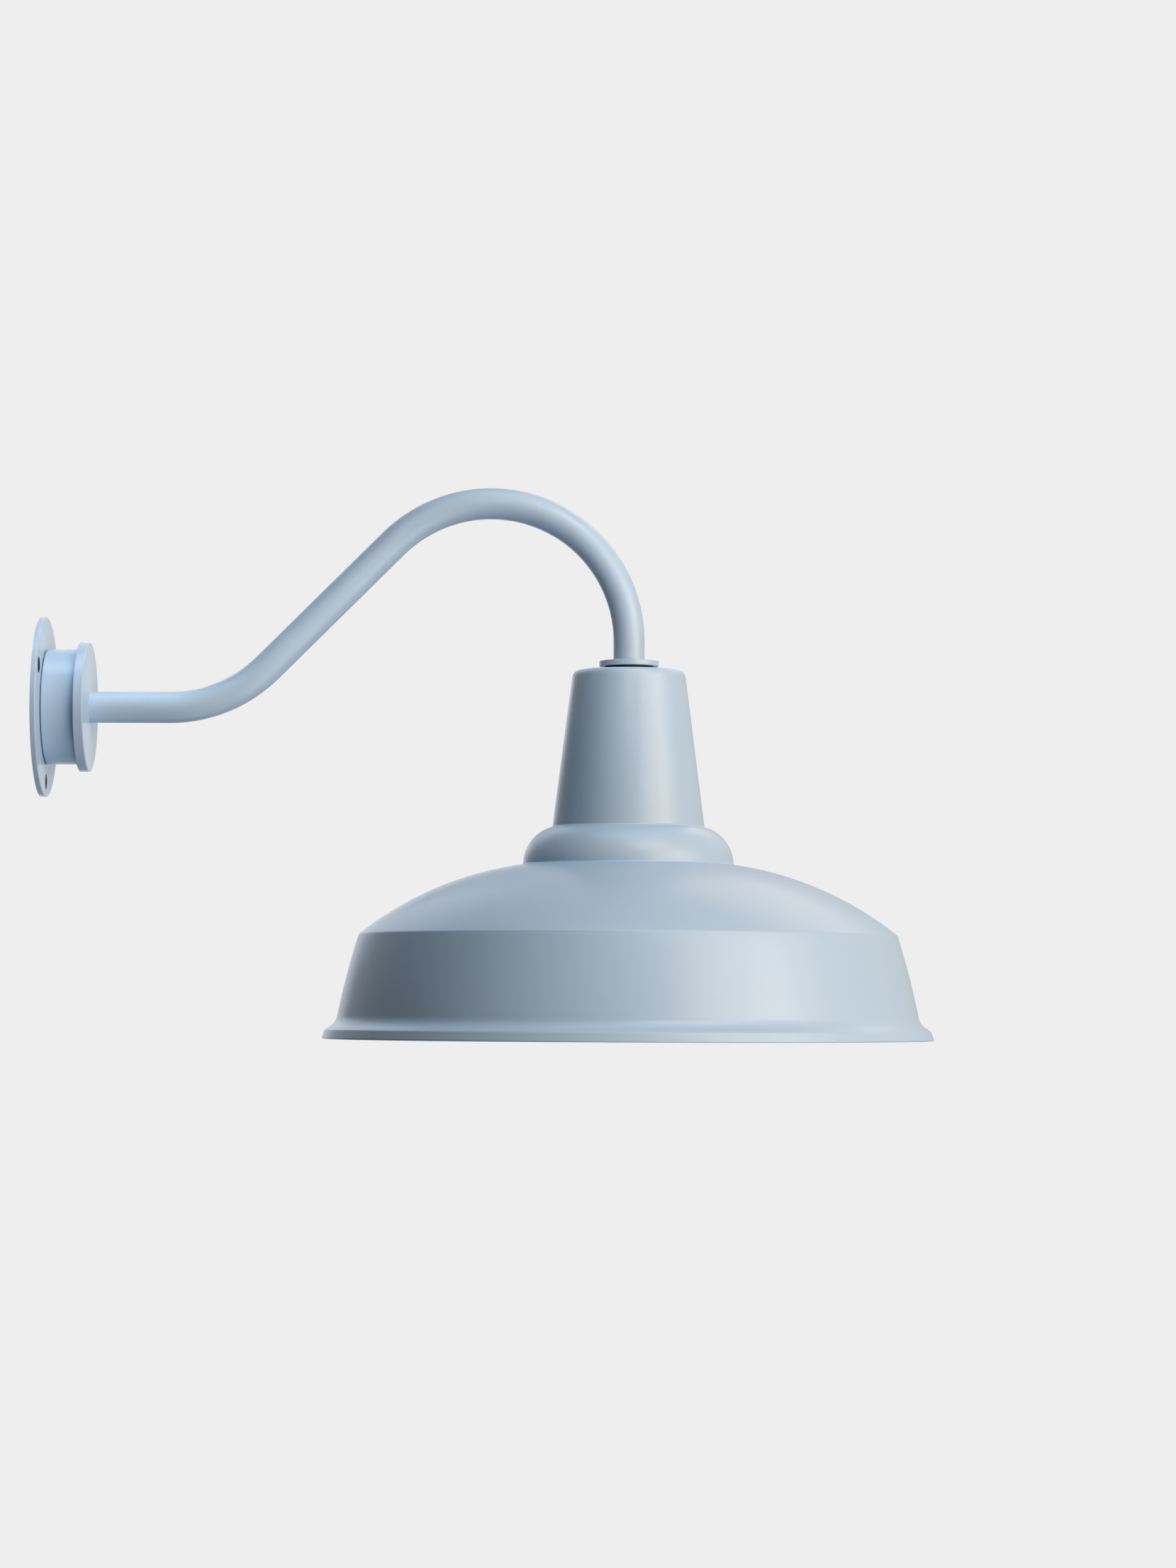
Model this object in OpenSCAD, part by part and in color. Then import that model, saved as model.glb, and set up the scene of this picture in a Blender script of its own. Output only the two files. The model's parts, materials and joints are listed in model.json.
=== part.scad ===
// Barn light: a gooseneck wall light with a deep spun shade.
// Millimetres. X points out from the wall, Z up. The origin is on the wall, at the canopy's axis.

/* [Wall plate] */
// Diameter of the wall plate
plate_d = 118; // [112:1:140]
// Thickness of the wall plate
plate_t = 3.5; // [3.2:0.1:6]
// Circle on which the wall screws lie
screw_pcd = 98; // [94:1:102]
// Clearance hole of a wall screw
screw_hole_d = 5.5; // [4.5:0.1:6.5]
// Width of the countersink at the front face
screw_sink_d = 10.6; // [9:0.1:11]
// Room between the rubber bush of the cable hole and the drum
entry_gap = 5.75; // [3:0.25:8]
// Cable hole in the plate
entry_d = 14; // [12:0.5:15]
// Bore of the rubber bush, for the supply cable
grommet_bore = 8; // [6:0.5:9]

/* [Drum and cover] */
// Diameter of the drum
drum_d = 75.5; // [72:0.5:78]
// Wall of the drum
drum_wall = 3; // [2.5:0.1:3.5]
// Length of the drum
drum_l = 21.2; // [20:0.2:30]
// Thickness of the seal between drum and plate
seal_t = 0.8; // [0.5:0.1:2]
// Diameter of the front disc
cover_d = 85; // [80:1:92]
// Thickness of the front disc
cover_t = 6.5; // [6:0.1:9]
// Length of the spigot that goes into the drum
spigot_l = 8; // [7:0.5:9]
// Wall of the spigot
spigot_wall = 4; // [3:0.5:5]

/* [Arm] */
// Outside diameter of the tube
tube_d = 20.5; // [19:0.1:22]
// Wall of the tube
tube_wall = 2; // [1.5:0.1:2.2]
// Radius of both bends, at the tube's centre
bend_r = 91; // [80:1:100]
// Slope of the rising length
rise_angle = 45; // [40:1:50]
// Straight length in front of the cover
first_l = 52; // [30:1:80]
// Straight rising length
rise_l = 116; // [90:1:150]
// Straight length above the collar
drop_l = 12.6; // [10:0.2:30]
// Diameter of the flex inside the tube
cable_d = 6; // [5:0.1:6.5]

/* [Collar] */
// Diameter of the collar
collar_d = 39; // [34:1:44]
// Thickness of the collar
collar_t = 3.6; // [3:0.1:6]
// Diameter of the rubber washer
gasket_d = 32; // [26:1:36]
// Thickness of the rubber washer
gasket_t = 2.7; // [1.5:0.1:4]

/* [Shade] */
// Diameter of the rim
rim_d = 400; // [370:1:430]
// Height of the shade
shade_h = 242; // [236:1:260]
// Thickness of the sheet
sheet_t = 1.5; // [1:0.1:2]
// Diameter of the neck where its cone would meet the top
neck_top_d = 73.4; // [70:0.5:78]
// Diameter of the neck at the bell
neck_bottom_d = 99.8; // [96:0.5:102]
// Height of the neck
neck_h = 102.8; // [95:0.5:105]
// Radius between the neck and its top
neck_corner_r = 5; // [3:0.5:8]
// Diameter of the bell at the dome
bell_d = 138; // [136:1:142]
// Depth of the bell's lower edge below the top
bell_z = 127.6; // [125:0.2:130]
// Radius of the bell
bell_r = 25.5; // [22:0.5:32]
// How far the skirt splays out from the shoulder to its lower end
skirt_splay = 13.7; // [12:0.1:17]
// Depth of the shoulder below the top
shoulder_z = 173.5; // [170:0.5:178]
// Radius of the dome
dome_r = 219; // [180:1:300]
// How far the flared rim reaches beyond the skirt
rim_reach = 10.3; // [9:0.1:12]
// Depth of the skirt's lower end below the top
skirt_z = 226.5; // [222:0.5:229]
// Radius of the skirt's slight swell
skirt_r = 493; // [300:1:900]
// Radius of the hollow above the rim
rim_hollow_r = 7; // [5:0.5:9]
// Radius of the flared rim
rim_flare_r = 13.8; // [12:0.2:16]
// Width of the turned-in hem under the rim
hem_w = 5; // [3:0.5:8]

/* [Lampholder] */
// Diameter of the lampholder
holder_d = 38; // [37:0.5:41]
// Height of the lampholder's cap
cap_h = 20; // [19:0.5:24]
// Height of the lampholder's skirt
skirt_h = 36; // [34.5:0.5:38]
// Bore of the screw shell
shell_bore = 26.9; // [26.9:0.1:27.2]
// Travel of the sprung centre contact
contact_travel = 1.5; // [1:0.1:2]
// Turns of the contact spring
spring_turns = 5; // [3:1:7]

/* [Bulb] */
// Overall length of the bulb
bulb_l = 105; // [100:1:115]
// Diameter of the bulb's glass
bulb_d = 60; // [55:1:68]
// Diameter of the bulb's screw cap
bulb_cap_d = 26.2; // [26:0.05:26.3]
// Filaments in the bulb
filament_count = 4; // [2:1:6]

/* [Hidden] */

// Roundness of large and of small turned pieces
fine = 160;
plain = 48;
// Overrun of every cut
over = 1;
// Clearances on the radius: of a seat, and of a screw in a plain hole
slip = 0.05;
easy = 0.15;
// Overlap of the parts of one solid
merge = 0.2;
// Colours of the finishes
paint = [0.62, 0.73, 0.8];
black_rubber = [0.06, 0.06, 0.07];
brass = [0.78, 0.62, 0.3];
zinc = [0.72, 0.73, 0.75];
porcelain = [0.93, 0.92, 0.88];
phenolic = [0.08, 0.08, 0.09];
nylon = [0.9, 0.9, 0.86];
glass = [0.9, 0.95, 1, 0.35];

// Canopy: places along the axis, from the wall
screw_count = 3;
plate_edge = 0.6;
drum_x = plate_t + seal_t;
drum_bore = drum_d - 2 * drum_wall;
drum_edge = 0.3;
cover_x = drum_x + drum_l;
cover_front_x = cover_x + cover_t;
cover_edge = 0.8;
cover_back_edge = 0.4;
seal_inset = 0.5;
grommet_lip = 2;
grommet_lip_t = 1.5;
entry_y = drum_bore / 2 - entry_d / 2 - grommet_lip - entry_gap;
// Lugs that hold the drum to the plate
lug_d = 10.4;
lug_t = 3;
lug_r = (drum_bore - lug_d) / 2 + merge;
drum_screw_d = 4;
drum_screw_head_d = 7.8;
drum_screw_head_t = 2.4;
drum_screw_bite = 2.9;
// Groove and grub screws that hold the cover
grub_d = 4;
grub_tip_d = 2.4;
grub_groove_w = 2.8;
grub_groove_depth = 1;
grub_key = 2;
grub_key_depth = 1.6;
grub_place_share = 0.69;
grub_angles = [0, 120];
// O-ring behind the cover
ring_d = 1.4;
ring_groove_w = 2.1;
ring_groove_inset = 0.5;
ring_groove_depth = 1.45;

// Terminal block, at the near side of the plate, with its corners this far from the drum
block_gap = 1.15;
pole_pitch = 8.5;
pole_count = 3;
block_w = 15;
block_y = sqrt(pow(drum_bore / 2 - block_gap, 2) - pow(block_w / 2, 2)) - pole_count * pole_pitch / 2;
block_base_t = 7;
tower_d = 6.4;
tower_h = 5;
pole_tube_d = 4.8;
pole_tube_bore = 3.2;
pole_tube_inset = 1;
pole_rise = 4.2;
pole_x = plate_t + pole_rise;
pole_screw_d = 2.8;
pole_screw_z = 3.6;
pole_screw_inset = 1.3;
slot_w = 0.6;
slot_depth = 0.8;
block_screw_d = 2.9;
block_screw_head_d = 4.5;
block_screw_head_t = 1.8;
block_screw_bite = 2.5;
// Earth screw with its ring tag
earth_y = 14;
earth_z = -17;
earth_screw_d = 4;
earth_head_d = 7;
earth_head_t = 2.2;
tag_d = 8;
tag_t = 0.8;
tag_barrel_d = 3.2;
tag_barrel_l = 4;

// Bending draws the tube this much thinner, and each bend runs this far into its neighbours, in degrees
bend_draw = 0.04;
bend_lap = 0.1;
// Arm: path of the tube's centre
tube_bore = tube_d - 2 * tube_wall;
cover_seat = 4;
collar_seat = 1.2;
seat_x = cover_front_x - cover_seat;
bend1_x = cover_front_x + first_l;
bend2_x = bend1_x + 2 * bend_r * sin(rise_angle) + rise_l * cos(rise_angle);
bend2_z = bend_r * (1 - 2 * cos(rise_angle)) + rise_l * sin(rise_angle);
lamp_x = bend2_x + bend_r;
collar_top = bend2_z - drop_l;
tube_end_z = collar_top - collar_seat;
// Bush, washer and nut at the wall end
bush_d = tube_bore - 2 * slip;
bush_l = 15;
bush_bore = 10;
wall_thread_d = 16;
wall_thread_l = 12;
arm_washer_d = 28;
arm_washer_t = 1.2;
arm_nut_af = 24;
arm_nut_t = 5;
// Cable and its cores
cable_stub = 0.4;
cable_end_x = seat_x - wall_thread_l - cable_stub;
core_d = 2.2;
core_ring_r = 1.6;
core_count = 3;
core_steps = 12;
core_sides = 8;
core_seat = 6.5;
core_lead = 1.6;
// Handles of the three wall cores, in shares of the drum's bore: out of the flex, upwards, above their poles
core_out_shares = [0.0863, 0.2288, 0.2273];
core_up_shares = [0.4014, 0.1525, 0.1683];
core_drop_shares = [0.3683, 0.5036, 0.1079];
earth_lead = 7;
earth_drop = 11;

// Lamp end: levels from the collar down
collar_z = collar_top - collar_t;
collar_edge = 0.6;
collar_under_edge = 0.4;
neck_top = collar_z - gasket_t;
nipple_d = 10;
nipple_bore = 8;
nipple_play = 0.25;
nipple_hole_d = nipple_d + 2 * nipple_play;
lamp_bush_l = 12;
nipple_grip = 10;
nipple_top = tube_end_z + nipple_grip;
shade_washer_d = 30;
shade_washer_t = 2;
shade_nut_af = 14;
shade_nut_t = 4;
cap_top = neck_top - sheet_t - shade_washer_t - shade_nut_t;
cap_bite = 7.5;
nipple_bottom = cap_top - cap_bite;
sheath_drop = 1.5;
sheath_end_z = nipple_bottom - sheath_drop;

// Lampholder
cap_bottom = cap_top - cap_h;
cap_wall = 1.5;
cap_boss_d = 16;
cap_boss_h = 6;
cap_web_t = 2;
cap_dome_h = 9;
grip_screw_d = 3;
mouth_z = cap_bottom - skirt_h;
skirt_bore = 29.6;
skirt_spigot_h = 5;
skirt_spigot_t = 1.35;
skirt_spigot_d = holder_d - 2 * cap_wall - 2 * slip;
carrier_play = 0.1;
carrier_d = skirt_spigot_d - 2 * skirt_spigot_t - 2 * carrier_play;
carrier_inset = 1;
carrier_t = 10.3;
carrier_top = cap_bottom - carrier_inset;
carrier_bottom = carrier_top - carrier_t;
shell_t = 0.6;
shell_lip = 2.1;
ledge_z = carrier_bottom - shell_t;
grip_groove_w = 1.2;
grip_groove_depth = 0.6;
grip_groove_pitch = 4;
grip_groove_count = 4;
grip_groove_first = 10;
post_r = 10;
post_d = 6;
post_h = 5.5;
post_bore = 2.6;
post_bore_depth = 4;
post_screw_d = 2.2;
post_screw_inset = 1.2;
// Sprung centre contact
button_d = 6.4;
button_t = 1.6;
button_drop = 0.8;
button_z = carrier_bottom - button_drop;
stem_d = 2.2;
stem_play = 0.25;
stem_rise = 1.6;
clip_d = 4.8;
clip_t = 0.6;
spring_d = 4.4;
spring_wire_d = 0.5;
spring_slack = 0.6;
spring_l = spring_turns * spring_wire_d + 2 * contact_travel + spring_slack;
pocket_d = 7.6;
pocket_depth = button_t - button_drop + spring_l;
spring_steps = 8;
spring_sides = 6;

// Bulb: levels from its tip down
tip_gap = 0.1;
bulb_tip = button_z - tip_gap;
eyelet_d = 9.6;
eyelet_t = 1;
insulator_t = 3.5;
insulator_d = 23.6;
bulb_cap_l = 22.5;
bulb_cap_wall = 0.6;
cap_shoulder = 1.4;
bulb_cap_top = bulb_tip - eyelet_t - insulator_t;
bulb_cap_bottom = bulb_cap_top - bulb_cap_l;
bulb_z = bulb_tip - bulb_l + bulb_d / 2;
glass_t = 1;
glass_step = 0.5;
glass_neck_r = bulb_cap_d / 2 + glass_step;
glass_sweep_r = 40;
glass_tail_l = 5;
stem_flare_t = 2;
stem_rod_d = 5;
stem_pinch_d = 9;
stem_pinch_l = 12;
filament_d = 1.8;
filament_top_r = 5;
filament_low_r = 9.5;
filament_rise = 20;
filament_drop = 14;
filament_top_z = bulb_z + filament_rise;
filament_low_z = bulb_z - filament_drop;
support_d = 0.7;

// Straight, circle and outline functions
function unit(v) = v / norm(v);
function arc(centre, r, from, to, steps) =
    [for (i = [0 : steps]) let (a = from + (to - from) * i / steps) centre + r * [cos(a), sin(a)]];
function bearing(v) = atan2(v.y, v.x);
function turn(a) = a - 360 * round(a / 360);
// Arc of radius r from a to b, with its centre on the right of the way from a to b
function arc_to(a, b, r, steps) =
    let (
        half = norm(b - a) / 2,
        u = unit(b - a),
        centre = (a + b) / 2 + sqrt(r * r - half * half) * [u.y, -u.x],
        from = bearing(a - centre)
    )
    arc(centre, r, from, from + turn(bearing(b - centre) - from), steps);
// Corner b between a and c, rounded with radius r
function corner(a, b, c, r, steps) =
    let (
        u = unit(a - b),
        v = unit(c - b),
        half = acos(u * v) / 2,
        centre = b + unit(u + v) * r / sin(half),
        from = bearing(b + u * r / tan(half) - centre),
        to = bearing(b + v * r / tan(half) - centre)
    )
    arc(centre, r, from, from + turn(to - from), steps);
// Closed outline with each corner rounded by its own radius
function rounded(points, radii, steps = 4) =
    let (n = len(points))
    [for (i = [0 : n - 1])
        each radii[i] > 0
            ? corner(points[(i + n - 1) % n], points[i], points[(i + 1) % n], radii[i], steps)
            : [points[i]]];
// Open path moved to its right by t
function side(a, b) = let (u = unit(b - a)) [u.y, -u.x];
function moved(path, t) =
    let (last = len(path) - 1)
    [for (i = [0 : last])
        let (
            before = side(path[max(i - 1, 0)], path[max(i, 1)]),
            after = side(path[min(i, last - 1)], path[min(i + 1, last)])
        )
        path[i] + t * (before + after) / (1 + before * after)];
function reversed(list) = [for (i = [len(list) - 1 : -1 : 0]) list[i]];
function tail(list) = [for (i = [1 : len(list) - 1]) list[i]];
function bezier(p, t) =
    pow(1 - t, 3) * p[0] + 3 * t * pow(1 - t, 2) * p[1] + 3 * t * t * (1 - t) * p[2] + pow(t, 3) * p[3];

// Places and turned shapes
module on_canopy(x) {
    translate([x, 0, 0]) rotate([0, 90, 0]) children();
}
module on_lamp(z) {
    translate([lamp_x, 0, z]) children();
}
module turned(points, roundness = plain) {
    rotate_extrude($fn = roundness) polygon(points);
}
module ring(d, bore, h, roundness = plain) {
    difference() {
        cylinder(d = d, h = h, $fn = roundness);
        translate([0, 0, -over]) cylinder(d = bore, h = h + 2 * over, $fn = roundness);
    }
}
module hex_nut(flats, bore, h) {
    difference() {
        cylinder(d = flats / cos(30), h = h, $fn = 6);
        translate([0, 0, -over]) cylinder(d = bore, h = h + 2 * over, $fn = plain);
    }
}
// Skin over a row of rings of points, closed at both ends
module skin(rings) {
    n = len(rings[0]);
    m = len(rings);
    polyhedron(
        points = [for (r = rings) each r],
        faces = concat(
            [[for (j = [0 : n - 1]) j]],
            [for (i = [0 : m - 2], j = [0 : n - 1])
                each [
                    [i * n + j, (i + 1) * n + j, i * n + (j + 1) % n],
                    [i * n + (j + 1) % n, (i + 1) * n + j, (i + 1) * n + (j + 1) % n]
                ]],
            [[for (j = [n - 1 : -1 : 0]) (m - 1) * n + j]]
        )
    );
}
// Core that sets out by the vector lead, bends along a bezier curve and then runs straight on;
// it never runs along the vector across
module core(p, lead, straight, across) {
    q = [p[0] + lead, p[1], p[2], p[3]];
    way = concat([p[0]], [for (i = [0 : core_steps]) bezier(q, i / core_steps)], [p[3] + straight]);
    last = core_steps + 2;
    skin([for (i = [0 : last])
        let (
            t = unit(way[min(i + 1, last)] - way[max(i - 1, 0)]),
            a = unit(cross(t, across)),
            b = cross(t, a)
        )
        [for (j = [0 : core_sides - 1])
            let (w = -360 * j / core_sides)
            way[i] + core_d / 2 * (a * cos(w) + b * sin(w))]]);
}
// Straight length, with what follows it at its end
module straight(l, d) {
    cylinder(d = d, h = l, $fn = plain);
    translate([0, 0, l]) children();
}
// Bend towards the local x axis, with what follows it at its end
module bend(angle, d) {
    translate([bend_r, 0, 0]) {
        rotate([90, 0, 0]) rotate([0, 0, 180 - angle - bend_lap])
            rotate_extrude(angle = angle + 2 * bend_lap, $fn = fine)
                translate([bend_r, 0]) circle(d = d - bend_draw, $fn = plain);
        rotate([0, angle, 0]) translate([-bend_r, 0, 0]) children();
    }
}
// Round bar along the gooseneck, from start_x at the wall to end_z at the lamp
module along_arm(d, start_x, end_z) {
    translate([start_x, 0, 0]) rotate([0, 90, 0]) rotate([0, 0, 180])
        straight(bend1_x - start_x, d) bend(rise_angle, d)
            straight(rise_l, d) rotate([0, 0, 180]) bend(90 + rise_angle, d)
                straight(bend2_z - end_z, d);
}

// Canopy
module at_wall_screws() {
    for (i = [0 : screw_count - 1])
        rotate([0, 0, i * 360 / screw_count]) translate([screw_pcd / 2, 0, 0]) children();
}
module at_lugs() {
    for (s = [-1, 1]) translate([s * lug_r, 0, 0]) children();
}
module at_poles() {
    for (i = [0 : pole_count - 1])
        translate([0, -block_y + pole_pitch * (i - (pole_count - 1) / 2), 0]) children();
}
module wall_plate() {
    sink_h = (screw_sink_d - screw_hole_d) / 2;
    color(paint) difference() {
        on_canopy(0) turned(
            rounded(
                [[0, 0], [plate_d / 2, 0], [plate_d / 2, plate_t], [0, plate_t]],
                [0, 0, plate_edge, 0]
            ),
            fine
        );
        on_canopy(-over) at_wall_screws() cylinder(d = screw_hole_d, h = plate_t + 2 * over, $fn = plain);
        on_canopy(plate_t - sink_h) at_wall_screws()
            cylinder(d1 = screw_hole_d, d2 = screw_sink_d, h = sink_h, $fn = plain);
        translate([0, entry_y, 0]) on_canopy(-over)
            cylinder(d = entry_d, h = plate_t + 2 * over, $fn = plain);
        on_canopy(plate_t - drum_screw_bite) at_lugs()
            cylinder(d = drum_screw_d + 2 * slip, h = drum_screw_bite + over, $fn = plain);
        translate([plate_t - block_screw_bite, -block_y - pole_pitch / 2, 0]) rotate([0, 90, 0])
            cylinder(d = block_screw_d + 2 * slip, h = block_screw_bite + over, $fn = plain);
        translate([plate_t - drum_screw_bite, earth_y, earth_z]) rotate([0, 90, 0])
            cylinder(d = earth_screw_d + 2 * slip, h = drum_screw_bite + over, $fn = plain);
    }
}
module cable_grommet() {
    color(black_rubber) translate([0, entry_y, 0]) on_canopy(0) difference() {
        union() {
            cylinder(d = entry_d - 2 * slip, h = plate_t, $fn = plain);
            translate([0, 0, plate_t])
                cylinder(d = entry_d + 2 * grommet_lip, h = grommet_lip_t, $fn = plain);
        }
        translate([0, 0, -over])
            cylinder(d = grommet_bore, h = plate_t + grommet_lip_t + 2 * over, $fn = plain);
    }
}
module drum_seal() {
    color(black_rubber) on_canopy(plate_t)
        ring(drum_d - 2 * seal_inset, drum_bore + 2 * seal_inset, seal_t, fine);
}
module canopy_drum() {
    color(paint) difference() {
        on_canopy(drum_x) {
            turned(
                rounded(
                    [
                        [drum_bore / 2, 0], [drum_d / 2, 0],
                        [drum_d / 2, drum_l], [drum_bore / 2, drum_l]
                    ],
                    [0, drum_edge, 0, 0],
                    2
                ),
                fine
            );
            at_lugs() cylinder(d = lug_d, h = lug_t, $fn = plain);
        }
        on_canopy(drum_x - over) at_lugs()
            cylinder(d = drum_screw_d + 2 * easy, h = lug_t + 2 * over, $fn = plain);
        at_cover_screws() translate([0, 0, drum_bore / 2 - over])
            cylinder(d = grub_d + 2 * slip, h = drum_wall + 2 * over, $fn = plain);
    }
}
module drum_screws() {
    color(zinc) on_canopy(drum_x + lug_t) at_lugs() difference() {
        union() {
            cylinder(d = drum_screw_head_d, h = drum_screw_head_t, $fn = plain);
            translate([0, 0, -lug_t - seal_t - drum_screw_bite + slip])
                cylinder(d = drum_screw_d, h = lug_t + seal_t + drum_screw_bite, $fn = plain);
        }
        cross_recess(drum_screw_head_d, drum_screw_head_t);
    }
}
// Cross recess in a pan head of diameter d and height h
module cross_recess(d, h) {
    wing = d / 2;
    blade = d / 8;
    for (a = [0, 90])
        rotate([0, 0, a]) translate([-wing / 2, -blade / 2, h / 2]) cube([wing, blade, h]);
}
// Grub screws of the cover: at the underside and on the far side
module at_cover_screws() {
    on_canopy(cover_x - spigot_l * grub_place_share)
        for (a = grub_angles) rotate([0, 0, a]) rotate([0, 90, 0]) children();
}
module canopy_cover() {
    spigot_r = drum_bore / 2 - slip;
    grub_z = -spigot_l * grub_place_share;
    color(paint) on_canopy(cover_x) turned(
        rounded(
            [
                [wall_thread_d / 2 + slip, 0],
                [spigot_r - spigot_wall, 0],
                [spigot_r - spigot_wall, -spigot_l],
                [spigot_r, -spigot_l],
                [spigot_r, grub_z - grub_groove_w / 2],
                [spigot_r - grub_groove_depth, grub_z - grub_groove_w / 2],
                [spigot_r - grub_groove_depth, grub_z + grub_groove_w / 2],
                [spigot_r, grub_z + grub_groove_w / 2],
                [spigot_r, -ring_groove_inset - ring_groove_w],
                [spigot_r - ring_groove_depth, -ring_groove_inset - ring_groove_w],
                [spigot_r - ring_groove_depth, -ring_groove_inset],
                [spigot_r, -ring_groove_inset],
                [spigot_r, 0],
                [cover_d / 2, 0],
                [cover_d / 2, cover_t],
                [tube_d / 2 + slip, cover_t],
                [tube_d / 2 + slip, cover_t - cover_seat],
                [wall_thread_d / 2 + slip, cover_t - cover_seat]
            ],
            [0, 0, 0, 0, 0, 0, 0, 0, 0, 0, 0, 0, 0, cover_back_edge, cover_edge, 0, 0, 0]
        ),
        fine
    );
}
module cover_seal() {
    color(black_rubber) on_canopy(cover_x - ring_groove_inset - ring_groove_w / 2)
        rotate_extrude($fn = fine) translate([drum_bore / 2 - ring_d / 2 - slip / 2, 0])
            circle(d = ring_d, $fn = plain);
}
module cover_screws() {
    body_l = drum_wall - 2 * slip;
    color(zinc) at_cover_screws() translate([0, 0, drum_bore / 2 + slip]) difference() {
        union() {
            cylinder(d = grub_d, h = body_l, $fn = plain);
            translate([0, 0, -grub_groove_depth])
                cylinder(d = grub_tip_d, h = grub_groove_depth + slip, $fn = plain);
        }
        translate([0, 0, body_l - grub_key_depth])
            cylinder(d = grub_key / cos(30), h = grub_key_depth + over, $fn = 6);
    }
}
module terminal_block() {
    length = pole_count * pole_pitch;
    color(nylon) difference() {
        union() {
            translate([plate_t, -block_y - length / 2, -block_w / 2]) cube([block_base_t, length, block_w]);
            translate([plate_t + block_base_t, 0, 0]) at_pole_screws()
                cylinder(d = tower_d, h = tower_h, $fn = plain);
        }
        translate([pole_x, 0, -block_w / 2 - over]) at_poles()
            cylinder(d = pole_tube_d + 2 * slip, h = block_w + 2 * over, $fn = plain);
        translate([pole_x, 0, 0]) at_pole_screws()
            cylinder(d = pole_screw_d + 2 * slip, h = block_base_t + tower_h, $fn = plain);
        translate([plate_t - over, -block_y - pole_pitch / 2, 0]) rotate([0, 90, 0])
            cylinder(d = block_screw_d + 2 * slip, h = block_base_t + 2 * over, $fn = plain);
    }
}
// Clamping screws: two on each pole, pointing away from the wall
module at_pole_screws() {
    for (s = [-1, 1]) at_poles() translate([0, 0, s * pole_screw_z]) rotate([0, 90, 0]) children();
}
module terminal_tubes() {
    length = block_w - 2 * pole_tube_inset;
    color(brass) difference() {
        translate([pole_x, 0, -length / 2]) at_poles() ring(pole_tube_d, pole_tube_bore, length);
        translate([pole_x, 0, 0]) at_pole_screws()
            cylinder(d = pole_screw_d + 2 * slip, h = pole_tube_d, $fn = plain);
    }
}
module slotted(d, h) {
    difference() {
        cylinder(d = d, h = h, $fn = plain);
        translate([-d, -slot_w / 2, h - slot_depth]) cube([2 * d, slot_w, slot_depth + over]);
    }
}
module terminal_screws() {
    tip = core_d / 2 + slip;
    color(zinc) {
        translate([pole_x + tip, 0, 0]) at_pole_screws() slotted(
            pole_screw_d,
            plate_t + block_base_t + tower_h - pole_screw_inset - pole_x - tip
        );
        translate([plate_t + block_base_t, -block_y - pole_pitch / 2, 0]) rotate([0, 90, 0]) {
            slotted(block_screw_head_d, block_screw_head_t);
            translate([0, 0, -block_base_t - block_screw_bite + slip])
                cylinder(d = block_screw_d, h = block_base_t + block_screw_bite - slip, $fn = plain);
        }
    }
}
module earth_screw() {
    color(brass) translate([plate_t + tag_t, earth_y, earth_z]) rotate([0, 90, 0]) difference() {
        union() {
            cylinder(d = earth_head_d, h = earth_head_t, $fn = plain);
            translate([0, 0, slip - tag_t - drum_screw_bite])
                cylinder(d = earth_screw_d, h = tag_t + drum_screw_bite, $fn = plain);
        }
        cross_recess(earth_head_d, earth_head_t);
    }
}
module earth_tag() {
    barrel_x = plate_t + tag_barrel_d / 2;
    color(zinc) difference() {
        union() {
            translate([plate_t, earth_y, earth_z]) rotate([0, 90, 0])
                cylinder(d = tag_d, h = tag_t, $fn = plain);
            translate([barrel_x, earth_y - tag_d / 2 - tag_barrel_l, earth_z]) rotate([-90, 0, 0])
                cylinder(d = tag_barrel_d, h = tag_barrel_l, $fn = plain);
            translate([plate_t, earth_y - tag_d / 2 - merge, earth_z - tag_barrel_d / 2])
                cube([tag_t, tag_d / 4, tag_barrel_d]);
        }
        translate([plate_t - over, earth_y, earth_z]) rotate([0, 90, 0])
            cylinder(d = earth_screw_d + 2 * slip, h = tag_t + 2 * over, $fn = plain);
        translate([barrel_x, earth_y - tag_d / 2 - tag_barrel_l - over, earth_z]) rotate([-90, 0, 0])
            cylinder(d = core_d + 2 * slip, h = tag_barrel_l, $fn = plain);
    }
}

// Arm
module arm_tube() {
    color(paint) difference() {
        along_arm(tube_d, seat_x, tube_end_z);
        along_arm(tube_bore, seat_x - over, tube_end_z - over);
    }
}
module wall_bush() {
    color(zinc) on_canopy(seat_x) difference() {
        union() {
            cylinder(d = bush_d, h = bush_l, $fn = plain);
            translate([0, 0, -wall_thread_l])
                cylinder(d = wall_thread_d, h = wall_thread_l + slip, $fn = plain);
        }
        translate([0, 0, -wall_thread_l - over])
            cylinder(d = bush_bore, h = wall_thread_l + bush_l + 2 * over, $fn = plain);
    }
}
module arm_washer() {
    color(zinc) on_canopy(cover_x - arm_washer_t)
        ring(arm_washer_d, wall_thread_d + 2 * slip, arm_washer_t);
}
module arm_lock_nut() {
    color(zinc) on_canopy(cover_x - arm_washer_t - arm_nut_t)
        hex_nut(arm_nut_af, wall_thread_d + 2 * slip, arm_nut_t);
}
module lamp_bush() {
    color(zinc) on_lamp(tube_end_z) ring(bush_d, nipple_d + 2 * slip, lamp_bush_l);
}
module arm_cable() {
    color([0.85, 0.85, 0.83]) along_arm(cable_d, cable_end_x, sheath_end_z);
}
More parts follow.
